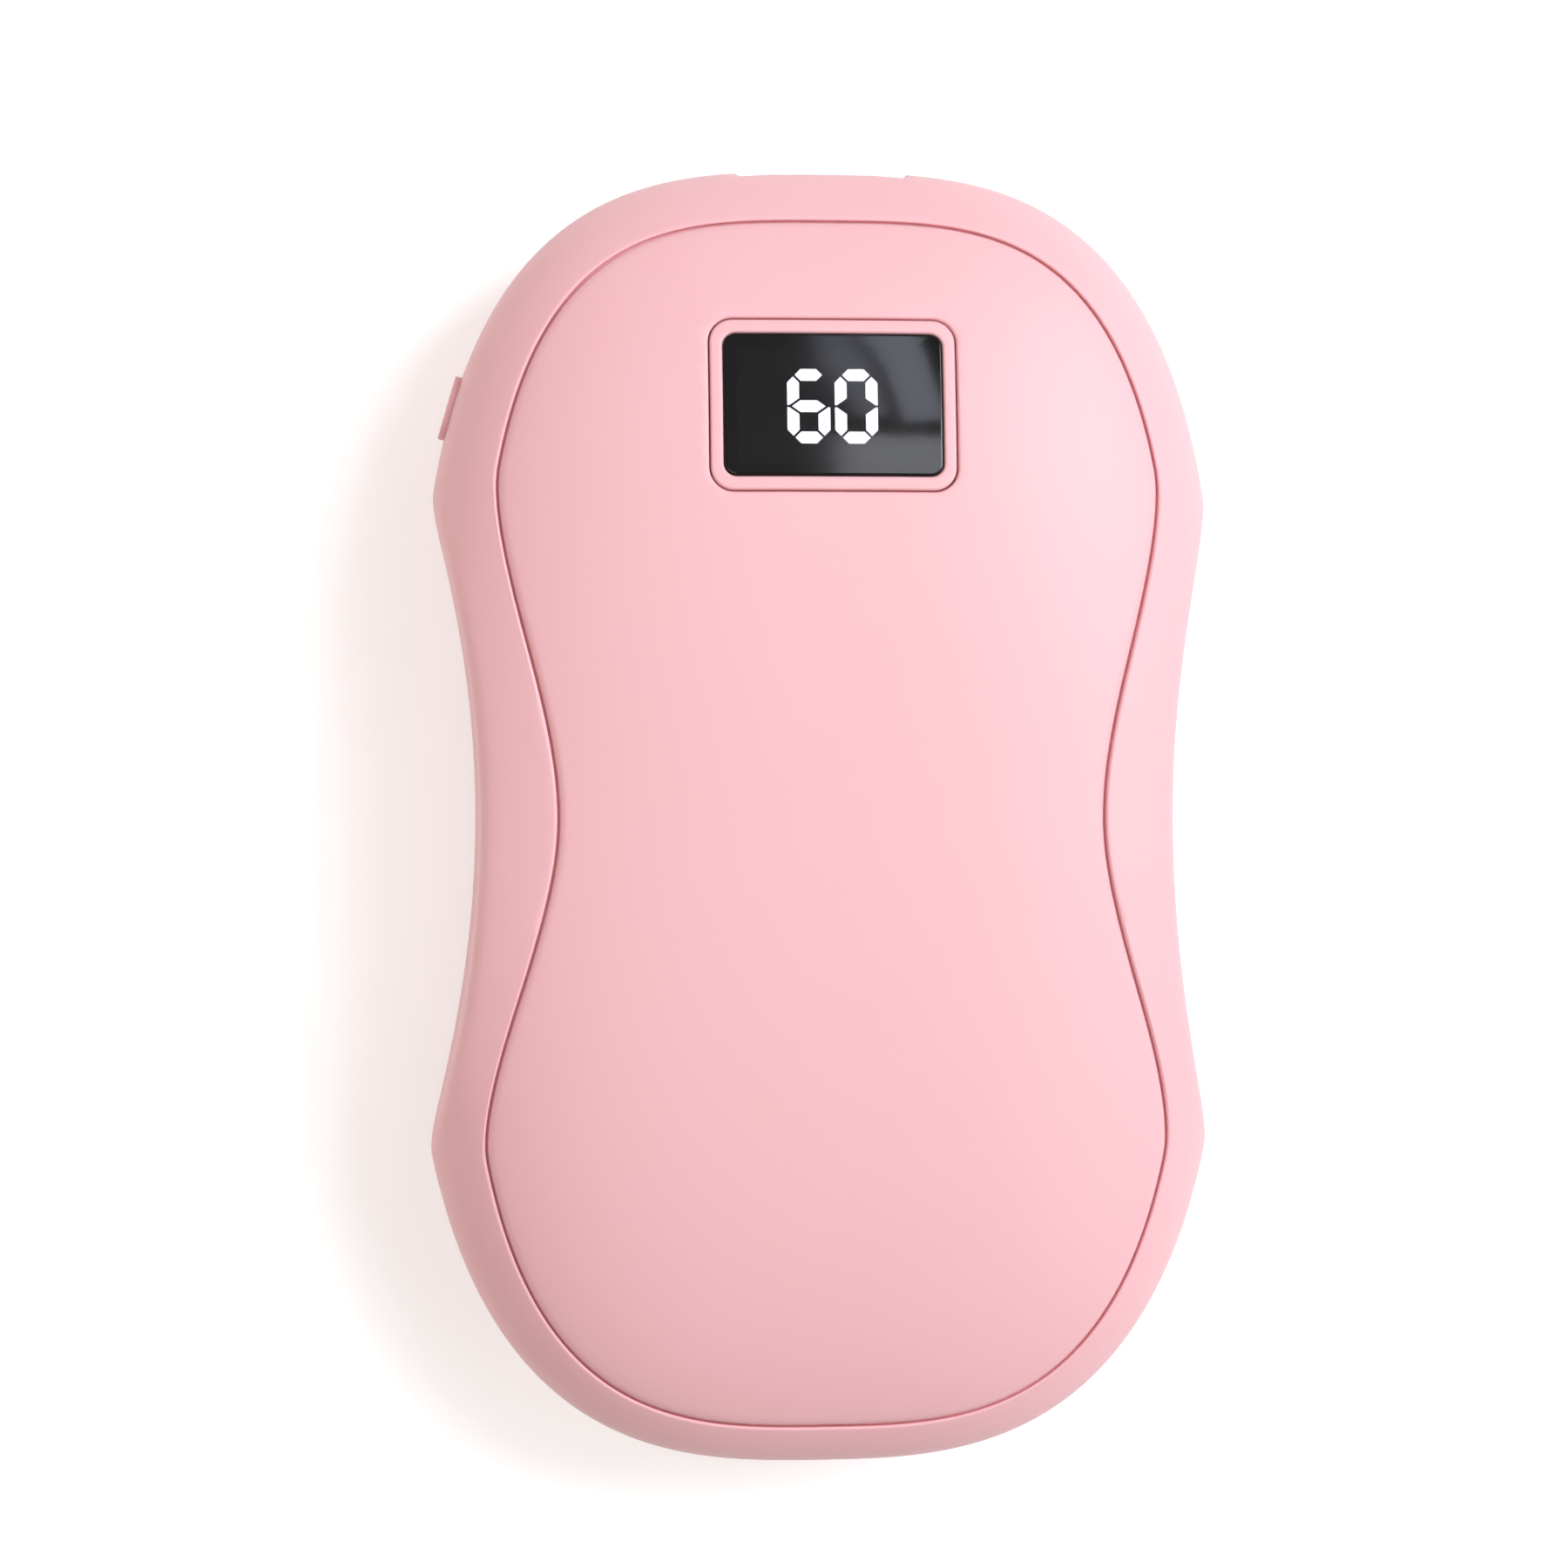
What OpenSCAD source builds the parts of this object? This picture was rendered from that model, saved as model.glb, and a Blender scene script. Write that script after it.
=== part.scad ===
// Rechargeable hand warmer: a soft pebble with two scooped sides, a heating cover on
// each face, a two-digit display, a side button and a charging socket in one end.
// It lies on its back. X runs across it, Y towards the socket end, Z out of the display.
// Sizes are in millimetres, and the origin is the middle of the flat it rests on.

/* [Body] */
// Length of the body, end to end
body_len = 115; // [112:0.5:120]
// Width of the lobe at the socket end, before the sides are scooped
top_lobe_w = 71.8; // [70:0.1:74]
// Width of the far lobe, before the sides are scooped
low_lobe_w = 73.4; // [71:0.1:76]
// Width across the waist
waist_w = 61; // [59:0.5:62]
// Radius of each side scoop, seen from the front
scoop_r = 94.5; // [85:0.5:110]
// Thickness from the flat on the back to the crown
body_thick = 27; // [26:0.1:28]
// How deep the back is flattened, so that the body lies still
rest_depth = 0.4; // [0.2:0.05:0.6]
// Length over which each crease beside a scoop is softened
crease_soft = 1.4; // [0.8:0.1:2]
// Thickness of the side wall
wall = 1.8; // [1.6:0.1:2.2]
// Thickness of the shell under the rim of a cover
rim_depth = 3.2; // [3:0.1:3.4]

/* [Covers] */
// Width of the rim between a cover and the socket end
rim_port = 5; // [4.5:0.1:6]
// Width of the rim between a cover and the far end
rim_low = 4; // [3.6:0.1:5]
// Width of the rim beside the upper lobe of a cover
rim_top_side = 5.4; // [5:0.1:6]
// Width of the rim beside the lower lobe of a cover
rim_low_side = 5.05; // [4.8:0.05:6]
// Width of the rim at the waist
rim_waist = 6.65; // [6.3:0.05:7.2]
// How far a cover's waist lies towards the socket end
waist_shift = 0.5; // [0:0.1:1]
// Length over which a cover's flank turns at the waist
waist_bend = 3.1; // [2.5:0.1:4]
// Length over which a cover's flank turns into its lobe
lobe_bend = 4.7; // [4:0.1:5.5]
// Width of the groove round each cover
groove_w = 0.4; // [0.3:0.05:0.5]
// Chamfer along both lips of the groove
lip = 0.3; // [0.15:0.05:0.35]
// Thickness of a cover
cover_t = 1.4; // [1.3:0.05:1.45]
// Width of the ledge that a cover is glued to
ledge_w = 3; // [2.6:0.1:3.2]
// Thickness of the adhesive ring under a cover
tape_t = 0.15; // [0.1:0.05:0.2]

/* [Heaters] */
// Width of the heating film
film_w = 38; // [34:0.5:38]
// Distance between the front film and the far end of the body
front_film_end = 17.25; // [16.5:0.25:20]
// Distance between the back film and each end of the body
back_film_end = 16.5; // [16:0.25:20]
// Gap between the front film and the display bezel
film_gap = 3; // [2.5:0.5:6]
// Thickness of the heating film
film_t = 0.25; // [0.15:0.05:0.3]
// Thickness of the aluminium spreader over the film
spreader_t = 0.4; // [0.3:0.05:0.5]
// Extra width of the spreader on each side of the film
spreader_edge = 0.8; // [0.4:0.1:1]

/* [Display] */
// Distance between the middle of the display and the socket end of the body
display_end = 21.15; // [20.5:0.05:21.5]
// Width of the display bezel
bezel_w = 21.4; // [21:0.1:22.4]
// Length of the display bezel
bezel_len = 15; // [14.8:0.1:15.6]
// Corner radius of the display bezel
bezel_round = 2; // [1.5:0.1:2.5]
// Width of the groove round the bezel
bezel_groove = 0.15; // [0.15:0.05:0.3]
// Width of the dark window
window_w = 19; // [18.6:0.1:19.4]
// Length of the dark window
window_len = 12.4; // [12:0.1:12.8]
// Corner radius of the dark window
window_round = 1.05; // [0.8:0.05:1.2]
// Thickness of the window
window_t = 1.3; // [1.2:0.05:1.4]
// Height of one digit
digit_h = 6.55; // [5.5:0.05:7]
// Width of one digit
digit_w = 3.75; // [3.4:0.05:4]
// Distance between the two digits
digit_pitch = 4.15; // [4.1:0.05:4.4]
// Width of one segment
stroke_w = 1.05; // [0.8:0.05:1.1]

/* [Power button] */
// Bearing of the button round the body, from the right side
button_bearing = 132; // [130:1:134]
// Length of the button along the wall
button_len = 5.8; // [5.4:0.1:7.2]
// Height of the button
button_h = 3; // [2.6:0.1:3.2]
// How far the button stands out of the wall
button_proud = 0.5; // [0.45:0.05:1]
// How far the button goes in
button_travel = 0.4; // [0.2:0.05:0.5]
// Clearance round the button in its slot
button_gap = 0.12; // [0.08:0.01:0.2]

/* [Socket] */
// Width of the recess that holds the socket
port_w = 15.2; // [14.8:0.1:16]
// Height of the recess that holds the socket
port_h = 6.1; // [5.8:0.1:6.4]
// Corner radius of the recess
port_round = 1; // [0.8:0.1:2]
// How deep the recess floor lies under the body's surface
port_sink = 0.3; // [0.2:0.05:0.5]
// Depth of the recess
port_depth = 7; // [6.6:0.1:7.4]
// Distance between the mouth of the socket and the end of the body
usb_set_back = 0.8; // [0.7:0.05:1]
// Width of the charging socket
usb_w = 8.94; // [8.8:0.02:9.1]
// Height of the charging socket
usb_h = 3.2; // [3.1:0.05:3.3]
// Depth of the charging socket
usb_depth = 9; // [8.6:0.1:10.5]
// How deep the charging socket is sunk into the board
usb_sink = 0.95; // [0.85:0.05:1.05]
// Diameter of the charge light
light_d = 1.6; // [1.4:0.1:1.7]
// Distance between the charge light and the middle of the socket
light_x = 6; // [5.9:0.05:6.1]

/* [Battery] */
// Width of the pouch cell
cell_w = 45; // [40:0.5:45]
// Depth of the pouch cell under the crown of each cover
cell_depth = 8.2; // [8.2:0.1:9]
// Distance between the cell and the far end of the body
cell_end_gap = 14.5; // [14:0.5:16]

/* [Circuit board] */
// Gap between the board and the side walls
board_side_gap = 1.6; // [1.5:0.1:2]
// Distance between the board's inner edge and its screws
board_lug = 8; // [7:0.1:8.5]
// Thickness of the board
board_t = 1.2; // [1:0.1:1.4]
// Gap between the cell and the board
board_cell_gap = 3.5; // [3.2:0.1:4.5]

/* [Screws] */
// Diameter of the screw shank
screw_d = 1.7; // [1.5:0.05:1.8]
// Diameter of the screw head
screw_head_d = 3.2; // [2.8:0.1:3.2]
// Height of the screw head
screw_head_h = 1.2; // [0.9:0.1:1.3]
// Depth of the head seat behind the parting line
screw_seat = 4; // [3.5:0.1:4.2]
// Grip of the screw in the front shell
screw_grip = 4.5; // [3.5:0.1:5]
// Diameter of a screw boss
boss_d = 4.4; // [4.3:0.1:4.6]
// Distance of each screw inside the edge of the cover
boss_inset = 3.4; // [3.3:0.1:3.6]

/* [Hidden] */

pink = "#ffc7cd";
pink_deep = "#f6b3bb";
smoke = "#141416";
steel = "#b9bcc0";
board_green = "#1f5d3c";

// Fineness of the curved skin, as numbers of steps
scoop_steps = 8;
lobe_steps = 13;
skin_rings = 8;
inner_rings = 6;
patch_cols = 8;
patch_rows = 12;
probe = 0.5;
halvings = 24;
round_fn = 48;
wire_sides = 8;
cut = 1;

// Rings across the face and the underside of a cover, as shares of its outline
face_shares = [0.95, 0.88, 0.78, 0.66, 0.52, 0.36, 0.18];
under_shares = [0.18, 0.36, 0.52, 0.66, 0.8, 0.92];

// Plan outline of the pebble, as exponents of its two lobes and of its section
top_square = 3.06;
low_square = 2.87;
crown_power = 2.5;
edge_power = 2.5;
cover_top_square = 3.36;
cover_low_square = 3.1;
top_flank_share = 0.32;
low_flank_share = 0.36;
blend_share = 0.3;

// How the rings of the skin crowd towards the parting line
skin_power = 1.7;
inner_power = 1.5;

half_len = body_len / 2;
crown = (body_thick + rest_depth) / 2;
mid_z = body_thick - crown;
display_y = half_len - display_end;
slack = 0.05;
recess = cover_t + tape_t + 2 * slack;
inner_crown = crown - rim_depth;

function soft_min(a, b, k) =
    let (h = max(k - abs(a - b), 0) / k) min(a, b) - h * h * k / 4;

// Value that belongs to the far lobe, blended into that of the upper lobe past the waist
function mixed(low, top, a) =
    let (t = min(max((sin(a) / blend_share + 1) / 2, 0), 1)) low + (top - low) * t * t * (3 - 2 * t);

function lobe_r(a) =
    let (w = mixed(low_lobe_w, top_lobe_w, a) / 2, n = mixed(low_square, top_square, a))
    pow(pow(abs(cos(a)) / w, n) + pow(abs(sin(a)) / half_len, n), -1 / n);

function scoop_at(a, inset) =
    let (c = abs(cos(a)), cx = waist_w / 2 + scoop_r, d = pow(c * cx, 2) - cx * cx + pow(scoop_r + inset, 2))
    d > 0 ? c * cx - sqrt(d) : body_len;

function skin_r(a, share, inset) =
    soft_min(share * (lobe_r(a) - inset), scoop_at(a, inset), crease_soft);

function rise(share, top) = top * pow(1 - pow(min(share, 1), crown_power), 1 / edge_power);

// Height of the dome over a point of the plan
function dome(p) = rise(norm(p) / lobe_r(atan2(p.y, p.x)), crown);

// Plan outline of a cover: a pebble whose straight flanks turn in at the waist
function flank_at(a) =
    let (s = sin(a), c = abs(cos(a)),
        half_waist = waist_w / 2 - rim_waist,
        m = s * half_len > waist_shift ? top_flank_share : low_flank_share,
        qa = c * c - m * m * s * s,
        qb = (half_waist - waist_bend) * c - m * m * s * waist_shift,
        qc = pow(half_waist - waist_bend, 2) - waist_bend * waist_bend - pow(m * waist_shift, 2),
        d = qb * qb - qa * qc)
    qa > probe / 100 && d >= 0 ? (qb + sqrt(d)) / qa : body_len;

function cover_lobe_r(a) =
    let (w = mixed(low_lobe_w / 2 - rim_low_side, top_lobe_w / 2 - rim_top_side, a),
        b = mixed(half_len - rim_low, half_len - rim_port, a),
        n = mixed(cover_low_square, cover_top_square, a))
    pow(pow(abs(cos(a)) / w, n) + pow(abs(sin(a)) / b, n), -1 / n);

function cover_r(a) = soft_min(cover_lobe_r(a), flank_at(a), lobe_bend);
function ray(a, r) = [r * cos(a), r * sin(a)];
function unit(v) = v / norm(v);
function side_normal(t) = unit([t.y, -t.x]);

// Point of a cover's outline, moved outwards by a distance
function cover_point(a) = ray(a, cover_r(a));
function cover_edge(a, out) =
    cover_point(a) + out * side_normal(cover_point(a + probe) - cover_point(a - probe));

// Direction square to the wall at a bearing
function wall_normal(a) =
    side_normal(ray(a + probe, skin_r(a + probe, 1, 0)) - ray(a - probe, skin_r(a - probe, 1, 0)));

// Bearing of the crease where a scoop meets a lobe
function crease_at(lo, hi, n, way) =
    let (m = (lo + hi) / 2, scooped = scoop_at(way * m, 0) < lobe_r(way * m))
    n == 0 ? m : crease_at(scooped ? m : lo, scooped ? hi : m, n - 1, way);

function span(from, to, steps) = [for (i = [0 : steps - 1]) from + (to - from) * i / steps];

top_crease = crease_at(0, 60, halvings, 1);
low_crease = crease_at(0, 60, halvings, -1);
bearings = concat(
    span(0, top_crease, scoop_steps), span(top_crease, 90, lobe_steps),
    span(90, 180 - top_crease, lobe_steps), span(180 - top_crease, 180, scoop_steps),
    span(180, 180 + low_crease, scoop_steps), span(180 + low_crease, 270, lobe_steps),
    span(270, 360 - low_crease, lobe_steps), span(360 - low_crease, 360, scoop_steps));

function lift(p, z) = [p.x, p.y, z];
function ring_at(out, drop) = [for (a = bearings) let (p = cover_edge(a, out)) lift(p, dome(p) - drop)];

// Share of the lobe's radius at which the rim of a cover's recess lies
function rim_share(a, out) = (norm(cover_edge(a, out))) / lobe_r(a);

function skin_ring(t, out) =
    [for (a = bearings) let (share = 1 - (1 - rim_share(a, out)) * pow(t, skin_power))
        lift(ray(a, skin_r(a, share, 0)), rise(share, crown))];

function inner_dome(p) = rise(norm(p) / (lobe_r(atan2(p.y, p.x)) - wall), inner_crown);

function inner_ring(t) =
    [for (a = bearings)
        let (far = norm(cover_edge(a, 0)) / (lobe_r(a) - wall), share = 1 - (1 - far) * pow(t, inner_power))
        lift(ray(a, skin_r(a, share, wall)), rise(share, inner_crown))];

// Solid between rings that close on themselves
module looped(rings) {
    n = len(rings[0]);
    m = len(rings);
    polyhedron(
        points = [for (r = rings) each r],
        faces = [for (i = [0 : m - 1], j = [0 : n - 1])
            let (k = (j + 1) % n, over = (i + 1) % m * n,
                a = i * n + j, b = i * n + k, c = over + j, d = over + k)
            each [[a, c, b], [b, c, d]]]);
}

// Solid inside rings that are capped at both ends
module capped(rings, first, last) {
    n = len(rings[0]);
    m = len(rings);
    polyhedron(
        points = concat([for (r = rings) each r], [first, last]),
        faces = concat(
            [for (i = [0 : m - 2], j = [0 : n - 1])
                let (a = i * n + j, b = i * n + (j + 1) % n, c = a + n, d = b + n)
                each [[a, c, b], [b, c, d]]],
            [for (j = [0 : n - 1]) [m * n, j, (j + 1) % n]],
            [for (j = [0 : n - 1]) [m * n + 1, (m - 1) * n + (j + 1) % n, (m - 1) * n + j]]));
}

// Half of the pebble with a recess and a ledge for its cover
module half_shell() {
    lip_out = groove_w / 2 + lip;
    looped(concat(
        [for (i = [0 : skin_rings - 1]) skin_ring(i / skin_rings, lip_out)],
        [ring_at(lip_out, 0), ring_at(groove_w / 2, lip), ring_at(groove_w / 2, recess),
            ring_at(-ledge_w, recess)],
        [[for (a = bearings) let (p = cover_edge(a, -ledge_w)) lift(p, inner_dome(p))]],
        [for (i = [inner_rings : -1 : 0]) inner_ring(i / inner_rings)]));
}

// Outline of a cover drawn in towards the middle by a share
function scaled_ring(s, out, drop) =
    [for (a = bearings) let (p = cover_edge(a, out) * s) lift(p, dome(p) - drop)];

// Domed cover with chamfered edges
module cover_blank() {
    edge = -groove_w / 2;
    capped(concat(
        [for (s = under_shares) scaled_ring(s, -ledge_w, cover_t)],
        [ring_at(lip - ledge_w, cover_t), ring_at(-groove_w - lip, cover_t), ring_at(edge, cover_t)],
        [ring_at(edge, lip), ring_at(edge - lip, 0)],
        [for (s = face_shares) scaled_ring(s, edge - lip, 0)]),
        [0, 0, crown - cover_t], [0, 0, crown]);
}

module tape_ring() {
    looped([
        ring_at(-groove_w - lip, cover_t + slack + tape_t), ring_at(-groove_w - lip, cover_t + slack),
        ring_at(lip - ledge_w, cover_t + slack), ring_at(lip - ledge_w, cover_t + slack + tape_t)]);
}

// Sheet or block under the dome, from one depth to another or to a flat level
module dome_patch(w, len_y, mid_y, drop, depth, level = undef, cols = patch_cols, rows = patch_rows) {
    pts = [for (j = [0 : rows], i = [0 : cols]) [w * (i / cols - 1 / 2), mid_y + len_y * (j / rows - 1 / 2)]];
    n = (cols + 1) * (rows + 1);
    grid = [for (j = [0 : rows - 1], i = [0 : cols - 1]) j * (cols + 1) + i];
    rim = concat(
        [for (i = [0 : cols - 1]) i], [for (j = [0 : rows - 1]) j * (cols + 1) + cols],
        [for (i = [cols : -1 : 1]) rows * (cols + 1) + i], [for (j = [rows : -1 : 1]) j * (cols + 1)]);
    polyhedron(
        points = concat(
            [for (p = pts) lift(p, dome(p) - drop)],
            [for (p = pts) lift(p, is_undef(level) ? dome(p) - drop - depth : level)]),
        faces = concat(
            [for (g = grid) each [[g, g + cols + 1, g + 1], [g + 1, g + cols + 1, g + cols + 2]]],
            [for (g = grid) each [[n + g, n + g + 1, n + g + cols + 1],
                [n + g + 1, n + g + cols + 2, n + g + cols + 1]]],
            [for (k = [0 : len(rim) - 1]) let (a = rim[k], b = rim[(k + 1) % len(rim)])
                each [[a, b, n + a], [b, n + b, n + a]]]));
}

// Rectangle with round corners
module round_rect(w, h, r) {
    square([w - 2 * r, h], center = true);
    square([w, h - 2 * r], center = true);
    for (sx = [-1, 1], sy = [-1, 1])
        translate([sx * (w / 2 - r), sy * (h / 2 - r)]) circle(r, $fn = round_fn);
}

module slab(w, h, r, low, high) {
    translate([0, 0, low]) linear_extrude(high - low) round_rect(w, h, r);
}

module block(size_x, size_y, low, high) {
    translate([-size_x / 2, -size_y / 2, low]) cube([size_x, size_y, high - low]);
}

// Wire through a list of points that lie in one plane, given the direction square to that plane
module wire(points, d, square_to) {
    last = len(points) - 1;
    capped([for (i = [0 : last])
        let (t = unit(points[min(i + 1, last)] - points[max(i - 1, 0)]), v = cross(t, square_to))
        [for (k = [0 : wire_sides - 1]) let (a = 360 * k / wire_sides)
            points[i] + d / 2 * (cos(a) * square_to + sin(a) * v)]], points[0], points[last]);
}

// Screws: four places under the edge of the covers
upper_screw_bearing = 40;
lower_screw_bearing = 46;
boss_step_d = 6;
boss_board_gap = 0.2;
screw_play = 0.02;
head_play = 0.2;
upper_screw = cover_edge(upper_screw_bearing, -boss_inset);
lower_screw = cover_edge(-lower_screw_bearing, -boss_inset);
screw_places = [for (p = [upper_screw, lower_screw], s = [-1, 1]) [s * p.x, p.y]];
function boss_top(p) = min([for (a = [0 : 30 : 330]) dome(p + ray(a, boss_step_d / 2))]) - recess - slack;

// Circuit board, which holds the socket's middle on the parting line
board_top = usb_sink - usb_h / 2;
board_low = board_top - board_t;
port_back_y = half_len - port_depth;
board_end_gap = 0.5;
board_end_y = port_back_y - board_end_gap;
board_start_y = upper_screw.y - board_lug;
cell_low_y = cell_end_gap - half_len;
cell_top_y = board_start_y - board_cell_gap;
cell_len = cell_top_y - cell_low_y;
cell_t = 2 * (crown - cell_depth);
post_d = 3;
post_bearing = 70;
post_place = cover_edge(post_bearing, -boss_inset + lip);

// Power button: its place on the wall and what stands behind it
button_wall = ray(button_bearing, skin_r(button_bearing, 1, 0));
button_normal = wall_normal(button_bearing);
button_turn = atan2(button_normal.y, button_normal.x);
pocket_wall_share = 0.8;
flange_edge = 0.7;
flange_t = 0.8;
flange_gap = 0.35;
flange_out = -wall - flange_gap;
flange_in = flange_out - flange_t;
plunger_gap = 0.05;
plunger_tip = flange_in - plunger_gap;
plunger_w = 2.6;
plunger_h = 1.3;
plunger_reach = 1.2;
plunger_seat = 1.7;
plunger_play = 0.05;
switch_w = 6;
switch_h = 3;
switch_depth = 3.5;
switch_front = plunger_tip - plunger_reach;
switch_gap = 0.1;
ear_w = 1.2;
ear_t = 0.3;
ear_len = 2;

// Display stack, measured down from the dome along its own tilted axis
module_w = 17;
module_len = 10.4;
module_t = 2.6;
segment_t = 0.3;
stack_gap = 0.1;
window_low = -window_t - stack_gap;
module_top = window_low - stack_gap;
module_low = module_top - module_t;
display_board_t = 0.8;
display_board_low = module_low - display_board_t;
skirt_wall = 1.1;
bezel_flange = 1.2;
bezel_flange_top = -2.2;
bezel_flange_low = -3;
window_play = 0.1;
segment_gap = 0.2;
middle_tip_edge = 0.4;
display_fall = dome([0, display_y - window_len / 2]) - dome([0, display_y + window_len / 2]);
display_tilt = atan(display_fall / window_len);

module at_display() {
    translate([0, display_y, dome([0, display_y])]) rotate([-display_tilt, 0, 0]) children();
}

module at_button() {
    translate([button_wall.x, button_wall.y, 0]) rotate([0, 0, button_turn]) children();
}

// Long round-ended bar along the wall, pushed from one depth to another
module pill(length, h, from, to) {
    rotate([90, 0, 90]) translate([0, 0, from]) linear_extrude(to - from) {
        square([length - h, h], center = true);
        for (s = [-1, 1]) translate([s * (length - h) / 2, 0]) circle(d = h, $fn = round_fn);
    }
}

module box_at(low, high) {
    translate(low) cube(high - low);
}

module port_prism(grow, from, to) {
    rotate([90, 0, 0]) translate([0, 0, -to])
        linear_extrude(to - from) round_rect(port_w + 2 * grow, port_h + 2 * grow, port_round + grow);
}

// Both shells take the same slot and recess, and a pocket behind the button's slot
module shell_cuts() {
    pocket_w = button_len + 2 * (flange_edge + flange_gap);
    pocket_h = button_h + 2 * flange_edge;
    port_prism(0, port_back_y - cut, half_len + cut);
    at_button() {
        pill(button_len + 2 * button_gap, button_h + 2 * button_gap, flange_in, button_proud + cut);
        box_at([flange_in, -pocket_w / 2, -pocket_h / 2],
            [-wall * pocket_wall_share, pocket_w / 2, pocket_h / 2]);
    }
}

// Front shell
module front_shell() {
    color(pink) translate([0, 0, mid_z]) difference() {
        union() {
            half_shell();
            for (p = screw_places) translate([p.x, p.y, 0])
                cylinder(h = boss_top(p), d = boss_d, $fn = round_fn);
        }
        shell_cuts();
        for (p = screw_places) translate([p.x, p.y, -cut])
            cylinder(h = screw_grip + 2 * cut, d = screw_d + screw_play, $fn = round_fn);
    }
}

// Back shell, with the seats of the screws and of the circuit board
module back_shell() {
    color(pink_deep) translate([0, 0, mid_z]) difference() {
        union() {
            mirror([0, 0, 1]) half_shell();
            for (p = screw_places) translate([p.x, p.y, -boss_top(p)])
                cylinder(h = boss_top(p), d = boss_d, $fn = round_fn);
            for (s = [-1, 1]) {
                translate([s * upper_screw.x, upper_screw.y, -boss_top(upper_screw)])
                    cylinder(h = boss_top(upper_screw) + board_low, d = boss_step_d, $fn = round_fn);
                translate([s * post_place.x, post_place.y, -boss_top(post_place)])
                    cylinder(h = boss_top(post_place) + board_low, d = post_d, $fn = round_fn);
            }
        }
        shell_cuts();
        for (p = screw_places) {
            translate([p.x, p.y, -screw_seat - cut])
                cylinder(h = screw_seat + 2 * cut, d = screw_d + screw_play, $fn = round_fn);
            translate([p.x, p.y, -crown])
                cylinder(h = crown - screw_seat, d = screw_head_d + head_play, $fn = round_fn);
        }
    }
}

// Front cover, open for the display
module front_cover() {
    color(pink) translate([0, 0, mid_z]) difference() {
        cover_blank();
        at_display() slab(bezel_w + 2 * bezel_groove, bezel_len + 2 * bezel_groove,
            bezel_round + bezel_groove, -crown, crown);
    }
}

// Back cover, flattened where the body rests
module back_cover() {
    color(pink_deep) difference() {
        translate([0, 0, mid_z]) mirror([0, 0, 1]) cover_blank();
        translate([-half_len, -half_len, -crown]) cube([body_len, body_len, crown]);
    }
}

module front_tape() {
    color("#e9e4d8") translate([0, 0, mid_z]) tape_ring();
}

module back_tape() {
    color("#e9e4d8") translate([0, 0, mid_z]) mirror([0, 0, 1]) tape_ring();
}

// Heating layers under each cover
layer_gap = 0.2;
spreader_drop = cover_t + layer_gap;
film_drop = spreader_drop + spreader_t + 2 * slack;
foam_drop = film_drop + film_t + layer_gap;
front_film_top_y = display_y - bezel_len / 2 - film_gap;
front_film_len = front_film_top_y + half_len - front_film_end;
front_film_y = front_film_top_y - front_film_len / 2;
back_film_len = body_len - 2 * back_film_end;
back_film_y = 0;

module front_spreader() {
    color("silver") translate([0, 0, mid_z])
        dome_patch(film_w + 2 * spreader_edge, front_film_len + 2 * spreader_edge, front_film_y,
            spreader_drop, spreader_t);
}

module back_spreader() {
    color("silver") translate([0, 0, mid_z]) mirror([0, 0, 1])
        dome_patch(film_w + 2 * spreader_edge, back_film_len + 2 * spreader_edge, back_film_y,
            spreader_drop, spreader_t);
}

module front_heater() {
    color("#c98a2e") translate([0, 0, mid_z])
        dome_patch(film_w, front_film_len, front_film_y, film_drop, film_t);
}

module back_heater() {
    color("#c98a2e") translate([0, 0, mid_z]) mirror([0, 0, 1])
        dome_patch(film_w, back_film_len, back_film_y, film_drop, film_t);
}

// Foam between each film and the cell
foam_w = 34;
foam_edge = 4;
foam_len = cell_len - 2 * foam_edge;
foam_y = (cell_low_y + cell_top_y) / 2 - foam_edge / 2;

module front_foam() {
    color("#55585c") translate([0, 0, mid_z])
        dome_patch(foam_w, foam_len, foam_y, foam_drop, 0, level = cell_t / 2);
}

module back_foam() {
    color("#55585c") translate([0, 0, mid_z]) mirror([0, 0, 1])
        dome_patch(foam_w, foam_len, foam_y, foam_drop, 0, level = cell_t / 2);
}

// Bezel round the window, with a skirt that holds the display module
module display_bezel() {
    color(pink) translate([0, 0, mid_z]) difference() {
        union() {
            intersection() {
                dome_patch(bezel_w + 2 * cut, bezel_len + 2 * cut, display_y, 0, 0, level = crown / 3);
                at_display() slab(bezel_w, bezel_len, bezel_round, bezel_flange_low, cut);
            }
            at_display() slab(bezel_w + 2 * bezel_flange, bezel_len + 2 * bezel_flange, bezel_round,
                bezel_flange_low, bezel_flange_top);
            at_display() slab(module_w + 2 * skirt_wall, module_len + 2 * skirt_wall, window_round,
                module_low + stack_gap, bezel_flange_top);
        }
        at_display() slab(window_w + 2 * window_play, window_len + 2 * window_play,
            window_round + window_play, window_low, 2 * cut);
        at_display() slab(module_w + window_play, module_len + window_play, window_play,
            module_low - cut, window_low + cut);
    }
}

// Smoked window, flush with the bezel
module display_window() {
    color(smoke) translate([0, 0, mid_z]) intersection() {
        dome_patch(bezel_w, bezel_len, display_y, slack, 0, level = crown / 3);
        at_display() slab(window_w, window_len, window_round, window_low, cut);
    }
}

// Segments a to g of a digit: the side and the end of the digit that each lies at
segment_x_shares = [0, 1, 1, 0, -1, -1, 0];
segment_y_shares = [1, 1, -1, -1, -1, 1, 0];
left_digit_lit = [true, false, true, true, true, true, true];
right_digit_lit = [true, true, true, true, true, true, false];
corner_tip = (digit_w - stroke_w - segment_gap * sqrt(2)) / 2;
middle_tip = digit_w / 2 - middle_tip_edge;
middle_shoulder = digit_w / 2 - stroke_w - segment_gap / 2;

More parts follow.
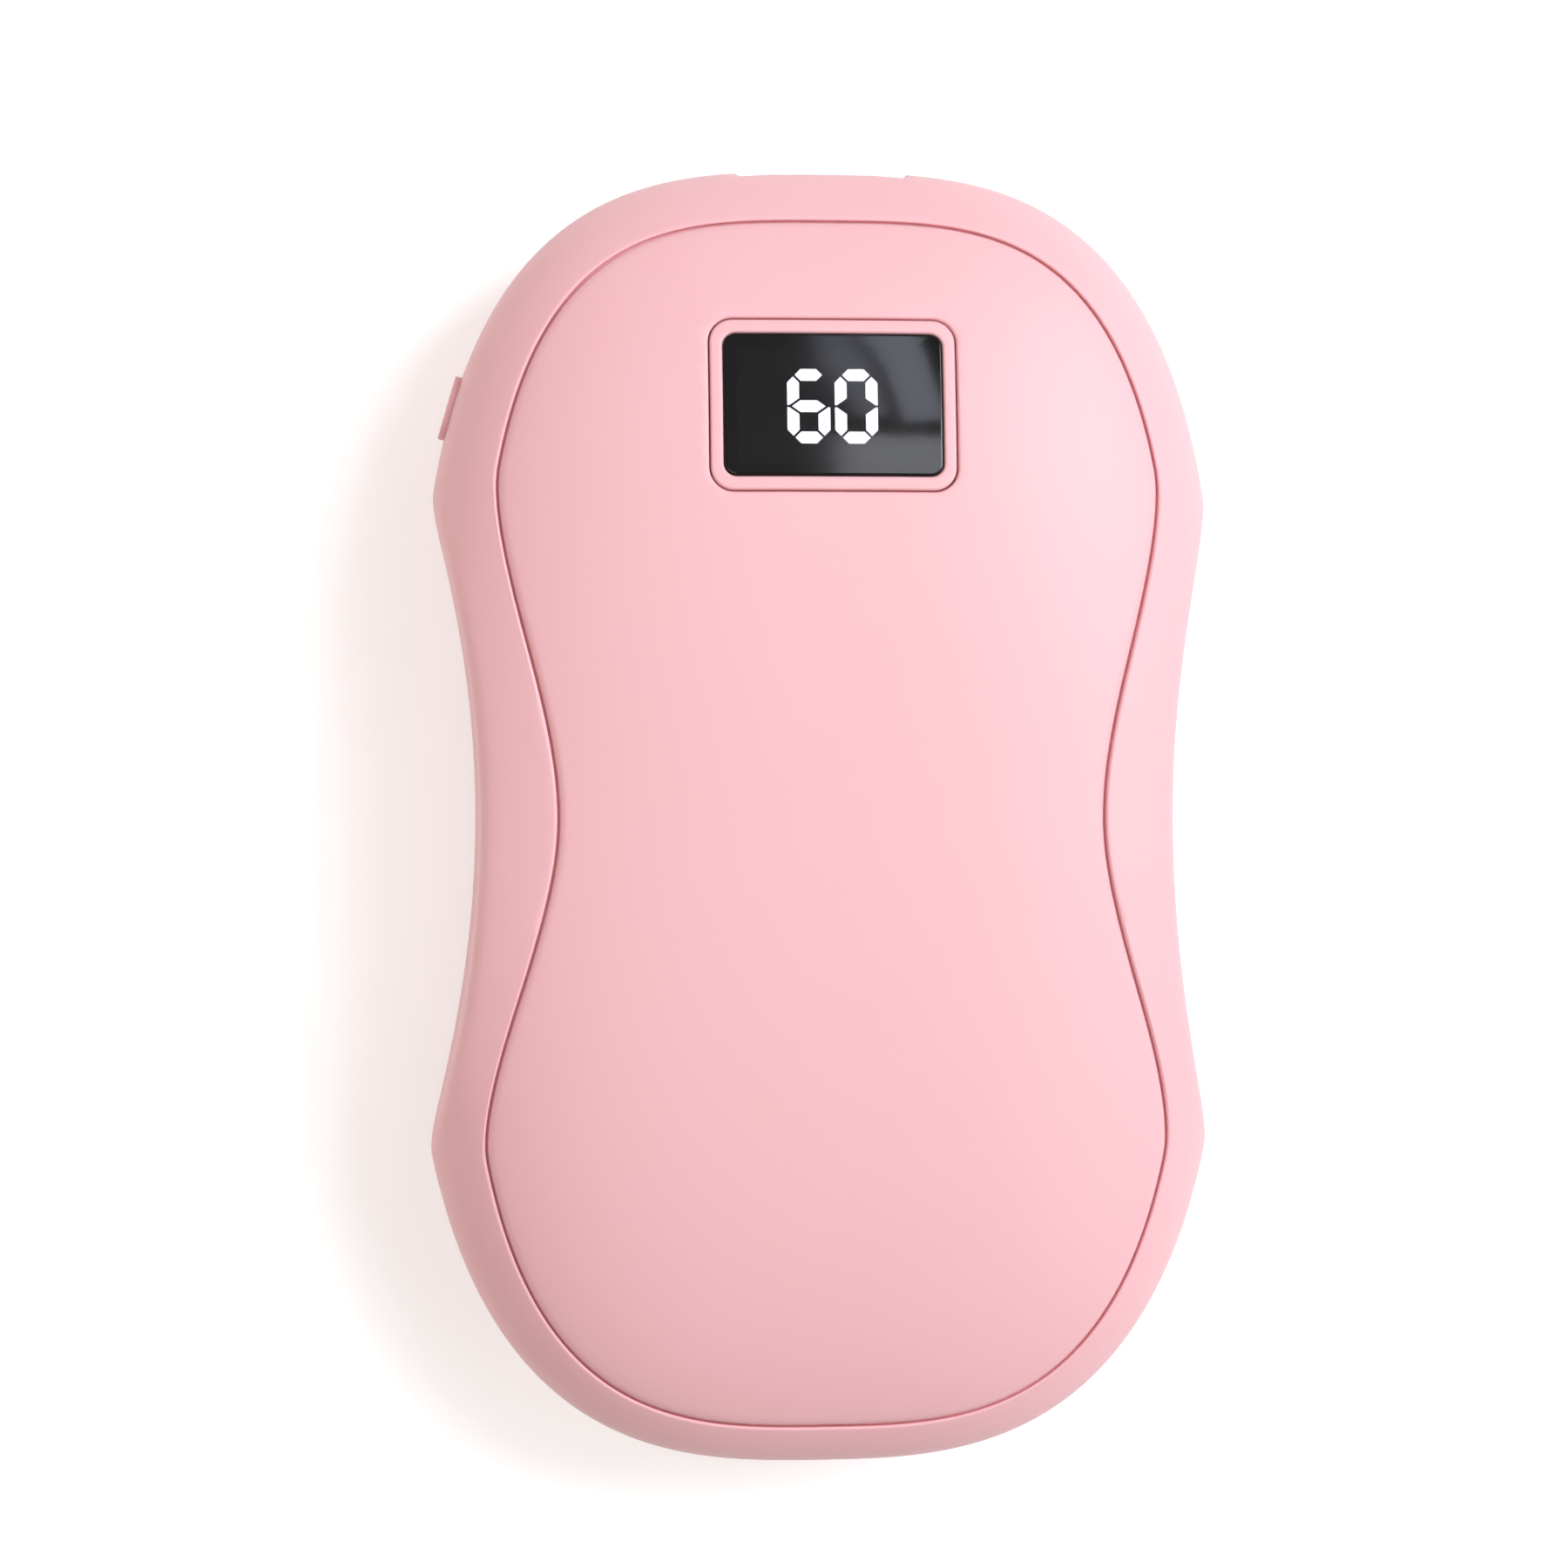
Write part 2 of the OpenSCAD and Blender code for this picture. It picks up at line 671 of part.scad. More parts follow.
// Flat bar, pointed at both ends
module flat_bar(tip, shoulder) {
    polygon([[-tip, 0], [-shoulder, stroke_w / 2], [shoulder, stroke_w / 2],
        [tip, 0], [shoulder, -stroke_w / 2], [-shoulder, -stroke_w / 2]]);
}

// Upright bar of one quarter, pointed at the corner and slanted along the middle bar's tip
module upright_bar(side, end) {
    slope_share = stroke_w / 2 / (middle_tip - middle_shoulder);
    rise = segment_gap * sqrt(1 + slope_share * slope_share);
    outer = digit_w / 2;
    inner = outer - stroke_w;
    foot = segment_gap / 2;
    tip = (digit_h - stroke_w - segment_gap * sqrt(2)) / 2;
    points = [[middle_tip + (rise - foot) / slope_share, foot], [outer, foot],
        [outer, tip - stroke_w / 2], [outer - stroke_w / 2, tip], [inner, tip - stroke_w / 2],
        [inner, (middle_tip - inner) * slope_share + rise]];
    polygon([for (p = points) [side * p.x, end * p.y]]);
}

module segment(k) {
    side = segment_x_shares[k];
    end = segment_y_shares[k];
    if (side != 0) upright_bar(side, end);
    else if (end == 0) flat_bar(middle_tip, middle_shoulder);
    else translate([0, end * (digit_h - stroke_w) / 2]) flat_bar(corner_tip, corner_tip - stroke_w / 2);
}

module segments(lit) {
    translate([0, 0, mid_z]) at_display() translate([0, 0, module_top - segment_t])
        linear_extrude(segment_t) for (side = [-1, 1], k = [0 : 6])
            if ((side < 0 ? left_digit_lit[k] : right_digit_lit[k]) == lit)
                translate([side * digit_pitch / 2, 0]) segment(k);
}

// Black module with a pocket for each segment
module display_module() {
    color("#1c1c1f") translate([0, 0, mid_z]) at_display() difference() {
        slab(module_w, module_len, window_play, module_low, module_top);
        translate([0, 0, module_top - segment_t]) linear_extrude(segment_t + cut)
            for (side = [-1, 1], k = [0 : 6]) translate([side * digit_pitch / 2, 0]) segment(k);
    }
}

module lit_segments() {
    color("white") segments(true);
}

module unlit_segments() {
    color("#3a3a3e") segments(false);
}

module display_board() {
    color(board_green) translate([0, 0, mid_z]) at_display()
        slab(module_w + 2 * skirt_wall, module_len + 2 * skirt_wall, window_round,
            display_board_low, module_low);
}

// Ribbon from the display board to its socket on the main board
ribbon_w = 8;
ribbon_t = 0.2;
ribbon_lap = 3;
display_socket_len = 3;
display_socket_h = 1.2;
display_socket_w = 10;
ribbon_drop_y = display_y - module_len / 2 - 2 * ribbon_lap;
function display_point(y, z) =
    [display_y + y * cos(display_tilt) + z * sin(display_tilt),
        dome([0, display_y]) - y * sin(display_tilt) + z * cos(display_tilt)];
ribbon_under = display_board_low - ribbon_t / 2;
ribbon_path = [
    display_point(0, ribbon_under), display_point(-module_len / 2, ribbon_under),
    display_point(-module_len / 2 - ribbon_lap / 2, ribbon_under - ribbon_lap / 6),
    [ribbon_drop_y - ribbon_t, crown / 3], [ribbon_drop_y - ribbon_lap / 2, crown / 6],
    [ribbon_drop_y - ribbon_lap / 6, board_top + display_socket_h / 2 + ribbon_lap / 6],
    [ribbon_drop_y + ribbon_lap / 2, board_top + display_socket_h / 2],
    [ribbon_drop_y + ribbon_lap, board_top + display_socket_h / 2]];

module strip(path, t) {
    last = len(path) - 1;
    normals = [for (i = [0 : last]) side_normal(path[min(i + 1, last)] - path[max(i - 1, 0)])];
    polygon(concat([for (i = [0 : last]) path[i] + normals[i] * t / 2],
        [for (i = [last : -1 : 0]) path[i] - normals[i] * t / 2]));
}

module display_ribbon() {
    color("#d08a3c") translate([-ribbon_w / 2, 0, mid_z]) rotate([90, 0, 90])
        linear_extrude(ribbon_w) strip(ribbon_path, ribbon_t);
}

module display_socket() {
    color("#e8e6df") translate([0, ribbon_drop_y + ribbon_lap + display_socket_len / 2, mid_z])
        block(display_socket_w, display_socket_len, board_top, board_top + display_socket_h);
}

// Power button in the wall and the switch behind it
module power_button() {
    color(pink) translate([0, 0, mid_z]) at_button() {
        pill(button_len, button_h, flange_in, button_proud);
        pill(button_len + 2 * flange_edge, button_h + 2 * (flange_edge - button_gap), flange_in, flange_out);
    }
}

module switch_body() {
    ear_x = switch_front - switch_depth / 2 - ear_len / 2;
    color("#2b2b2e") translate([0, 0, mid_z]) at_button() difference() {
        union() {
            box_at([switch_front - switch_depth, -switch_w / 2, -switch_h / 2],
                [switch_front, switch_w / 2, switch_h / 2]);
            box_at([ear_x, -switch_w / 2 - ear_w, board_top],
                [ear_x + ear_len, switch_w / 2 + ear_w, board_top + ear_t]);
        }
        box_at([switch_front - plunger_seat - button_travel - plunger_play, -plunger_w / 2 - plunger_play,
            -plunger_h / 2 - plunger_play], [switch_front + cut, plunger_w / 2 + plunger_play,
            plunger_h / 2 + plunger_play]);
    }
}

module switch_plunger() {
    color("#d8d8da") translate([0, 0, mid_z]) at_button()
        box_at([switch_front - plunger_seat, -plunger_w / 2, -plunger_h / 2],
            [plunger_tip, plunger_w / 2, plunger_h / 2]);
}

// Charging socket in the end of the body
usb_wall = 0.25;
usb_play = 0.1;
usb_front_y = half_len - usb_set_back;
usb_back_y = usb_front_y - usb_depth;
usb_ear_w = 0.6;
usb_ear_len = 1.5;
usb_ear_t = 0.3;
tongue_w = 6.69;
tongue_t = 0.7;
tongue_back = 1;
tongue_tip_gap = 0.6;
contact_count = 12;
contact_w = 0.25;
contact_t = 0.05;
contact_pitch = 0.5;
contact_tip_gap = 0.8;

// Surface of the end of the body over a point of the end view
function end_y(x, z) =
    let (share = pow(1 - pow(abs(z) / crown, edge_power), 1 / crown_power))
    half_len * pow(pow(share, top_square) - pow(abs(x) / (top_lobe_w / 2), top_square), 1 / top_square);

// Block with a back that is flat and a face that follows the end of the body
module end_patch(w, h, sink, steps) {
    pts = [for (j = [0 : steps], i = [0 : steps]) [w * (i / steps - 1 / 2), h * (j / steps - 1 / 2)]];
    n = pow(steps + 1, 2);
    grid = [for (j = [0 : steps - 1], i = [0 : steps - 1]) j * (steps + 1) + i];
    rim = concat(
        [for (i = [0 : steps - 1]) i], [for (j = [0 : steps - 1]) j * (steps + 1) + steps],
        [for (i = [steps : -1 : 1]) steps * (steps + 1) + i], [for (j = [steps : -1 : 1]) j * (steps + 1)]);
    polyhedron(
        points = concat(
            [for (p = pts) [p.x, end_y(p.x, p.y) - sink, p.y]],
            [for (p = pts) [p.x, port_back_y, p.y]]),
        faces = concat(
            [for (g = grid) each [[g, g + 1, g + steps + 1], [g + 1, g + steps + 2, g + steps + 1]]],
            [for (g = grid) each [[n + g, n + g + steps + 1, n + g + 1],
                [n + g + 1, n + g + steps + 1, n + g + steps + 2]]],
            [for (k = [0 : len(rim) - 1]) let (a = rim[k], b = rim[(k + 1) % len(rim)])
                each [[a, n + a, b], [b, n + a, n + b]]]));
}

tab_w = 1.6;
tab_half_h = 2;
tab_t = 1.2;
tab_gap = 0.9;
end_steps = 10;

module usb_prism(grow, from, to) {
    h = usb_h + 2 * grow;
    rotate([90, 0, 0]) translate([0, 0, -to])
        linear_extrude(to - from) round_rect(usb_w + 2 * grow, h, h / 2 - slack);
}

// Charge light: a clear rod in the plate, and the lamp on the board that shines into it
led_w = 1.6;
led_len = 0.8;
led_h = 1;
led_gap = 0.3;
light_front_y = end_y(light_x + light_d / 2, 0) - port_sink;
light_back_y = board_end_y + 2 * slack;
led_front_y = light_back_y - led_gap;

module light_rod(grow, from, to) {
    translate([light_x, from, 0]) rotate([-90, 0, 0])
        cylinder(h = to - from, d = light_d + 2 * grow, $fn = round_fn);
}

// Plate that fills the recess round the socket and the light
module port_plate() {
    tab_y = half_len - wall - tab_gap;
    color(pink_deep) translate([0, 0, mid_z]) difference() {
        union() {
            intersection() {
                end_patch(port_w, port_h, port_sink, end_steps);
                port_prism(-usb_play, port_back_y, half_len);
            }
            box_at([-port_w / 2 - tab_w, tab_y - tab_t, -tab_half_h],
                [port_w / 2 + tab_w, tab_y, tab_half_h]);
        }
        usb_prism(usb_play, port_back_y - cut, half_len + cut);
        light_rod(slack, port_back_y - cut, half_len + cut);
    }
}

// Steel shell of the socket, with ears that are soldered to the board
module usb_shell() {
    ear_y = usb_back_y + usb_wall;
    color(steel) translate([0, 0, mid_z]) difference() {
        union() {
            usb_prism(0, usb_back_y, usb_front_y);
            box_at([-usb_w / 2 - usb_ear_w, ear_y, board_top],
                [usb_w / 2 + usb_ear_w, ear_y + usb_ear_len, board_top + usb_ear_t]);
        }
        usb_prism(-usb_wall, usb_back_y + usb_wall, usb_front_y + cut);
    }
}

// Plastic tongue on its block at the back of the socket
module usb_tongue() {
    back_y = usb_back_y + usb_wall;
    color("#1c1c1f") translate([0, 0, mid_z]) {
        usb_prism(-usb_wall - slack / 2, back_y, back_y + tongue_back);
        box_at([-tongue_w / 2, back_y, -tongue_t / 2],
            [tongue_w / 2, usb_front_y - tongue_tip_gap, tongue_t / 2]);
    }
}

// Contacts along both faces of the tongue
module usb_contacts() {
    back_y = usb_back_y + usb_wall + tongue_back;
    front_y = usb_front_y - tongue_tip_gap - contact_tip_gap;
    color("gold") translate([0, 0, mid_z]) for (i = [0 : contact_count - 1], side = [-1, 1])
        translate([(i - (contact_count - 1) / 2) * contact_pitch, 0, side * (tongue_t + contact_t) / 2])
            box_at([-contact_w / 2, back_y, -contact_t / 2], [contact_w / 2, front_y, contact_t / 2]);
}

module charge_light() {
    color("#dfe4ea") translate([0, 0, mid_z]) light_rod(0, light_back_y, light_front_y);
}

module charge_led() {
    color("#f0efe9") translate([light_x, led_front_y - led_len / 2, mid_z])
        block(led_w, led_len, board_top, board_top + led_h);
}

// Outline of the board: it follows the inside of the casing between its two ends
module board_outline() {
    intersection() {
        polygon([for (a = bearings) ray(a, skin_r(a, 1, wall + board_side_gap))]);
        translate([-half_len, board_start_y]) square([body_len, board_end_y - board_start_y]);
    }
}

// Circuit board with its holes and its notches for the socket and the switch
module main_board() {
    color(board_green) translate([0, 0, mid_z]) difference() {
        translate([0, 0, board_low]) linear_extrude(board_t) board_outline();
        box_at([-usb_w / 2 - usb_play, usb_back_y - usb_play, board_low - cut],
            [usb_w / 2 + usb_play, half_len, board_top + cut]);
        for (s = [-1, 1]) translate([s * upper_screw.x, upper_screw.y, board_low - cut])
            cylinder(h = board_t + 2 * cut, d = boss_d + 2 * boss_board_gap, $fn = round_fn);
        at_button() {
            notch = switch_w / 2 + switch_gap;
            wide_notch = button_len / 2 + 2 * flange_edge;
            box_at([switch_front - switch_depth - switch_gap, -notch, board_low - cut],
                [0, notch, board_top + cut]);
            box_at([flange_in - 2 * button_travel, -wide_notch, board_low - cut],
                [0, wide_notch, board_top + cut]);
        }
    }
}

inductor_w = 7.2;
inductor_h = 3;
inductor_round = 1;
inductor_y_share = 0.5;
core_d = 5.6;
core_rim = 0.2;
chip_h = 0.9;
chip_sizes = [5, 4, 4.4];
chip_y_shares = [0.52, 0.62, 0.2];
controller_size = 6.5;
controller_y_share = 0.3;
chip_gap = 0.55;
function board_y(share) = board_start_y + share * (board_end_y - board_start_y);

// The display's socket and ribbon keep the middle of the board, so the parts stand beside it
beside = display_socket_w / 2 + chip_gap;
chip_places = [
    [-beside - chip_sizes[0] / 2, board_y(chip_y_shares[0]), 0],
    [beside + chip_sizes[1] / 2, board_y(chip_y_shares[1]), 0],
    [-beside - chip_sizes[0] - 3 * chip_gap - chip_sizes[2] / 2, board_y(chip_y_shares[2]), 0]];
inductor_place = [beside + chip_sizes[1] + chip_gap + inductor_w / 2, board_y(inductor_y_share), 0];
controller_place = [beside + controller_size / 4, board_y(controller_y_share), 0];

module power_inductor() {
    color("#3b3b40") translate(inductor_place + [0, 0, mid_z]) {
        slab(inductor_w, inductor_w, inductor_round, board_top, board_top + inductor_h - core_rim);
        translate([0, 0, board_top]) cylinder(h = inductor_h, d = core_d, $fn = round_fn);
    }
}

// Chips: charging, boost and heater control on top, and the controller underneath
module board_chips() {
    color("#222225") translate([0, 0, mid_z]) {
        for (i = [0 : len(chip_sizes) - 1]) translate(chip_places[i])
            block(chip_sizes[i], chip_sizes[i], board_top, board_top + chip_h);
        translate(controller_place)
            block(controller_size, controller_size, board_low - chip_h, board_low);
    }
}

// Pouch cell with its sealed end and protection board
terrace_len = 4;
terrace_t = 1;
cell_round = 2;
cell_board_w = 36;
cell_board_t = 1;
cell_board_edge = 0.3;

module battery_cell() {
    color("#a9adb3") translate([0, 0, mid_z]) {
        translate([0, (cell_low_y + cell_top_y - terrace_len) / 2, 0])
            slab(cell_w, cell_len - terrace_len, cell_round, -cell_t / 2, cell_t / 2);
        box_at([-cell_w / 2 + cell_round, cell_top_y - terrace_len - cut, -terrace_t / 2],
            [cell_w / 2 - cell_round, cell_top_y, terrace_t / 2]);
    }
}

module battery_board() {
    color("#2c6b8f") translate([0, cell_top_y - terrace_len / 2, mid_z])
        block(cell_board_w, terrace_len - 2 * cell_board_edge, terrace_t / 2, terrace_t / 2 + cell_board_t);
}

// Plug housing on the board where the battery leads end
socket_w = 6;
socket_len = 5;
socket_h = 3.4;
socket_x = 11;
lead_d = 1.3;
lead_pitch = 2;
lead_gap = 1;
socket_y = board_start_y + socket_len / 2 + lead_gap;
lead_mid_z = board_top + socket_h / 2;
lead_board_y = cell_top_y - terrace_len / 2;
lead_rest_z = terrace_t / 2 + cell_board_t;

module battery_socket() {
    color("#f0efe9") translate([socket_x, socket_y, mid_z])
        block(socket_w, socket_len, board_top, board_top + socket_h);
}

// Capacitors in pairs beside the first chip, the inductor and the battery socket
cap_len = 3.2;
cap_w = 1.6;
cap_h = 1.5;
cap_gap = 0.6;
function cap_pair(place, side, w) =
    [for (s = [-1, 1]) place + [side * (w / 2 + cap_gap + cap_len / 2), s * (cap_w + cap_gap) / 2, 0]];
cap_places = concat(
    cap_pair(chip_places[0], -1, chip_sizes[0]),
    cap_pair(inductor_place, 1, inductor_w),
    cap_pair([socket_x, socket_y, 0], 1, socket_w));

module capacitors() {
    color("#b08a5a") translate([0, 0, mid_z]) for (p = cap_places) translate(p)
        block(cap_len, cap_w, board_top, board_top + cap_h);
}

module battery_lead(side) {
    x = socket_x + side * lead_pitch / 2;
    translate([0, 0, mid_z]) wire([
        [x, lead_board_y, lead_rest_z], [x, lead_board_y, lead_rest_z + lead_d],
        [x, cell_top_y + lead_gap, lead_rest_z + 2 * lead_d],
        [x, board_start_y - lead_gap / 2, lead_mid_z + lead_d / 2],
        [x, socket_y - socket_len / 2 - lead_gap / 2, lead_mid_z],
        [x, socket_y - socket_len / 2, lead_mid_z]], lead_d, [1, 0, 0]);
}

module battery_lead_red() {
    color("#b3202a") battery_lead(1);
}

module battery_lead_black() {
    color("#1a1a1c") battery_lead(-1);
}

// Leads of the heating films and the temperature sensors
heater_lead_d = 0.9;
heater_lead_pitch = 2.4;
heater_lead_x = -7;
back_lead_x = -13;
heater_lead_y = board_start_y + 2 * lead_gap;
lead_slack = 1.5;
sensor_d = 2;
sensor_h = 1.6;
sensor_leg_d = 0.5;
sensor_leg_pitch = 1;
sensor_x = -bezel_w / 2 - bezel_flange - chip_gap - sensor_d / 2;
back_sensor_x = 2;

function film_under(x, y) = dome([x, y]) - foam_drop;

module heater_lead_pair(x0, board_z) {
    for (side = [-1, 1]) {
        x = x0 + side * heater_lead_pitch / 2;
        top = film_under(x, heater_lead_y);
        wire([[x, heater_lead_y, board_z], [x, heater_lead_y, board_z + (top - board_z) / 3],
            [x, heater_lead_y - lead_slack, (board_z + top) / 2],
            [x, heater_lead_y, board_z + (top - board_z) * 2 / 3], [x, heater_lead_y, top]],
            heater_lead_d, [1, 0, 0]);
    }
}

module front_heater_leads() {
    color("#dedede") translate([0, 0, mid_z]) heater_lead_pair(heater_lead_x, board_top);
}

module back_heater_leads() {
    color("#dedede") translate([0, 0, mid_z]) mirror([0, 0, 1]) heater_lead_pair(back_lead_x, -board_low);
}

module sensor(x, board_z) {
    low = film_under(x, heater_lead_y) - sensor_h;
    translate([x, heater_lead_y, low]) cylinder(h = sensor_h, d = sensor_d, $fn = round_fn);
    for (side = [-1, 1]) translate([x + side * sensor_leg_pitch / 2, heater_lead_y, board_z])
        cylinder(h = low + sensor_h / 2 - board_z, d = sensor_leg_d, $fn = round_fn);
}

module front_sensor() {
    color("#1d1d20") translate([0, 0, mid_z]) sensor(sensor_x, board_top);
}

module back_sensor() {
    color("#1d1d20") translate([0, 0, mid_z]) mirror([0, 0, 1]) sensor(back_sensor_x, -board_low);
}

// Four screws, driven from the back before its cover is glued on
drive_w = 0.5;
drive_len = 2.2;
drive_depth = 0.6;

module case_screws() {
    color("#8f9296") translate([0, 0, mid_z]) for (p = screw_places) translate([p.x, p.y, 0]) difference() {
        union() {
            translate([0, 0, -screw_seat]) cylinder(h = screw_seat + screw_grip, d = screw_d, $fn = round_fn);
            translate([0, 0, -screw_seat - screw_head_h])
                cylinder(h = screw_head_h, d = screw_head_d, $fn = round_fn);
        }
        for (w = [[drive_len, drive_w], [drive_w, drive_len]])
            block(w.x, w.y, -screw_seat - screw_head_h - cut, drive_depth - screw_seat - screw_head_h);
    }
}

front_shell();
back_shell();
front_cover();
back_cover();
front_tape();
back_tape();
front_spreader();
back_spreader();
front_heater();
back_heater();
front_foam();
back_foam();
display_bezel();
display_window();
display_module();
lit_segments();
unlit_segments();
display_board();
display_ribbon();
display_socket();
power_button();
switch_body();
switch_plunger();
port_plate();
usb_shell();
usb_tongue();
usb_contacts();
charge_light();
charge_led();
main_board();
power_inductor();
board_chips();
capacitors();
battery_socket();
battery_cell();
battery_board();
battery_lead_red();
battery_lead_black();
front_heater_leads();
back_heater_leads();
front_sensor();
back_sensor();
case_screws();
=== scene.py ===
"""Looks of a rechargeable hand warmer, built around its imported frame.

The body is a pebble with two scooped sides. Its surface is one formula, so the casing,
the covers, the bezel and the window are all laid on the same dome.
Lengths in the classes are millimetres and angles are radians. Heights are measured from
the parting line of the casing. Meshes are laid in metres, in the frame's own place.
"""

import logging
import math
from collections.abc import Callable, Iterable, Mapping, Sequence
from dataclasses import dataclass, field
from enum import Enum
from functools import lru_cache

import bpy
from mathutils import Matrix, Vector


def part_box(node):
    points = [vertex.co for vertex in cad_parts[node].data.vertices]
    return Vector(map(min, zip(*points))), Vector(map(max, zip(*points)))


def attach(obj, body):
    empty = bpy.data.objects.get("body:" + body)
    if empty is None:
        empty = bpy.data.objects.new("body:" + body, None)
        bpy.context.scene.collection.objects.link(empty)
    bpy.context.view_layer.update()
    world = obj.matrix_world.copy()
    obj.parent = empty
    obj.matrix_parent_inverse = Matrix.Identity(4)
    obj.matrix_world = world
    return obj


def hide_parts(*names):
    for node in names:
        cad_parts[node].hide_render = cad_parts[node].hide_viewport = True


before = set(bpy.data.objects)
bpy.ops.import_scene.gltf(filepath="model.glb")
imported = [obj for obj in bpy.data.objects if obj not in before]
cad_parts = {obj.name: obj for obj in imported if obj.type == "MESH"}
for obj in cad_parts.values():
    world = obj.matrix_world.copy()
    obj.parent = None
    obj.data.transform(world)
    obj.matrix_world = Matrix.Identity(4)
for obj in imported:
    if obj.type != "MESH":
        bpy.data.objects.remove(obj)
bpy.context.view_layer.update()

MM = 0.001
TURN = 2 * math.pi
LOG = logging.getLogger("hand_warmer")

# Edges flatter than this are shaded smooth
SMOOTH_ANGLE = math.radians(32)
# Steps of a search that halves its range each time
HALVINGS = 24
# Parts of each straight side of a rounded rectangle
SIDE_PARTS = 8
# Least corner radius of an outline that is drawn in
LEAST_CORNER = 0.02
# What a fully round end lacks of half its height, so that a side is left
ROUND_END = 0.001
# Share of its outline at which a face is closed
POLE = 0.02
# Lip of a tool: degrees to a step, steps, and how far it then runs on and rises
FLARE_STEP = 14
FLARE_STEPS = 5
FLARE_REACH = 0.8
TOOL_RISE = 3
# How far a tool runs past what it cuts
OVERRUN = 1

Ring = list[Vector]
Spot = tuple[float, float]
Place = tuple[float, float, float]
Outline = Callable[[float], list[Spot]]
Cutter = Callable[[], bpy.types.Object]


class Body(Enum):
    """Moving body of the frame that a piece rides on."""

    HOUSING = "housing"
    BUTTON = "button"


class Side(Enum):
    """Side of the parting line that a half of the casing lies on."""

    FRONT = 1
    BACK = -1


class Ends(Enum):
    """How the two ends of a loft are closed."""

    JOINED = "joined to each other"
    FILLED = "filled with a face each"


class Cut(Enum):
    """What a tool does to the piece that it is applied to."""

    AWAY = "DIFFERENCE"
    ADDED = "UNION"


# Modelling moves


def clear_selection() -> None:
    """Deselects every object, so that an operator acts on one piece alone."""
    bpy.ops.object.select_all(action="DESELECT")


def pick(piece: bpy.types.Object) -> None:
    """Makes one piece the only selected and the active one.

    Args:
        piece: The piece to pick.
    """
    clear_selection()
    piece.select_set(True)
    bpy.context.view_layer.objects.active = piece


def select_vertices(piece: bpy.types.Object, chosen: Iterable[int]) -> None:
    """Opens a piece in edit mode with only some vertices selected.

    Args:
        piece: The piece to open.
        chosen: Indices of its vertices.
    """
    pick(piece)
    bpy.ops.object.mode_set(mode="EDIT")
    bpy.ops.mesh.select_mode(type="VERT")
    bpy.ops.mesh.select_all(action="DESELECT")
    bpy.ops.object.mode_set(mode="OBJECT")
    for index in chosen:
        piece.data.vertices[index].select = True
    bpy.ops.object.mode_set(mode="EDIT")


def tidy(piece: bpy.types.Object, merge: float = 0.0005) -> None:
    """Merges doubled vertices and turns every face outwards.

    Args:
        piece: The piece to tidy.
        merge: Distance in millimetres under which two vertices become one.
    """
    pick(piece)
    bpy.ops.object.mode_set(mode="EDIT")
    bpy.ops.mesh.select_all(action="SELECT")
    bpy.ops.mesh.remove_doubles(threshold=merge * MM)
    bpy.ops.mesh.normals_make_consistent(inside=False)
    bpy.ops.object.mode_set(mode="OBJECT")


def loft(name: str, rings: Sequence[Ring], ends: Ends) -> bpy.types.Object:
    """Extrudes a circle ring by ring and lays each ring on its own points.

    Args:
        name: Name of the new piece.
        rings: Rings of points in millimetres, all with as many points.
        ends: How the first and the last ring are closed.

    Returns:
        The new piece, closed and with its faces outwards.
    """
    sides = len(rings[0])
    clear_selection()
    bpy.ops.mesh.primitive_circle_add(vertices=sides, radius=rings[0][0].length * MM)
    piece = bpy.context.object
    piece.name = name
    bpy.ops.object.mode_set(mode="EDIT")
    for _ in rings[1:]:
        bpy.ops.mesh.extrude_region_move(TRANSFORM_OT_translate={"value": (0, 0, MM)})
    bpy.ops.object.mode_set(mode="OBJECT")
    spots = [value * MM for ring in rings for point in ring for value in point]
    piece.data.vertices.foreach_set("co", spots)
    piece.data.update()
    if ends is Ends.FILLED:
        total = len(piece.data.vertices)
        for chosen in (range(sides), range(total - sides, total)):
            select_vertices(piece, chosen)
            bpy.ops.mesh.edge_face_add()
            bpy.ops.mesh.poke()
            bpy.ops.object.mode_set(mode="OBJECT")
    tidy(piece)
    return piece


def combine(piece: bpy.types.Object, tool: bpy.types.Object, cut: Cut) -> None:
    """Cuts a tool away from a piece, or adds it, and removes the tool.

    Args:
        piece: The piece that stays.
        tool: The piece that is used up.
        cut: What the tool does.
    """
    pick(piece)
    bpy.ops.object.modifier_add(type="BOOLEAN")
    modifier = piece.modifiers[-1]
    modifier.operation = cut.value
    modifier.solver = "EXACT"
    modifier.object = tool
    bpy.ops.object.modifier_apply(modifier=modifier.name)
    bpy.data.objects.remove(tool)


def rod(
    place: Spot, diameter: float, low: float, high: float, sides: int = 48
) -> bpy.types.Object:
    """Upright cylinder, as a boss or a drill is.

    Args:
        place: Its axis, in millimetres.
        diameter: Its diameter.
        low: Height of its lower end.
        high: Height of its upper end.
        sides: How many sides it has.

    Returns:
        The new cylinder.
    """
    clear_selection()
    bpy.ops.mesh.primitive_cylinder_add(
        vertices=sides,
        radius=diameter / 2 * MM,
        depth=(high - low) * MM,
        location=(place[0] * MM, place[1] * MM, (low + high) / 2 * MM),
    )
    bpy.ops.object.transform_apply(location=True, rotation=True, scale=True)
    return bpy.context.object


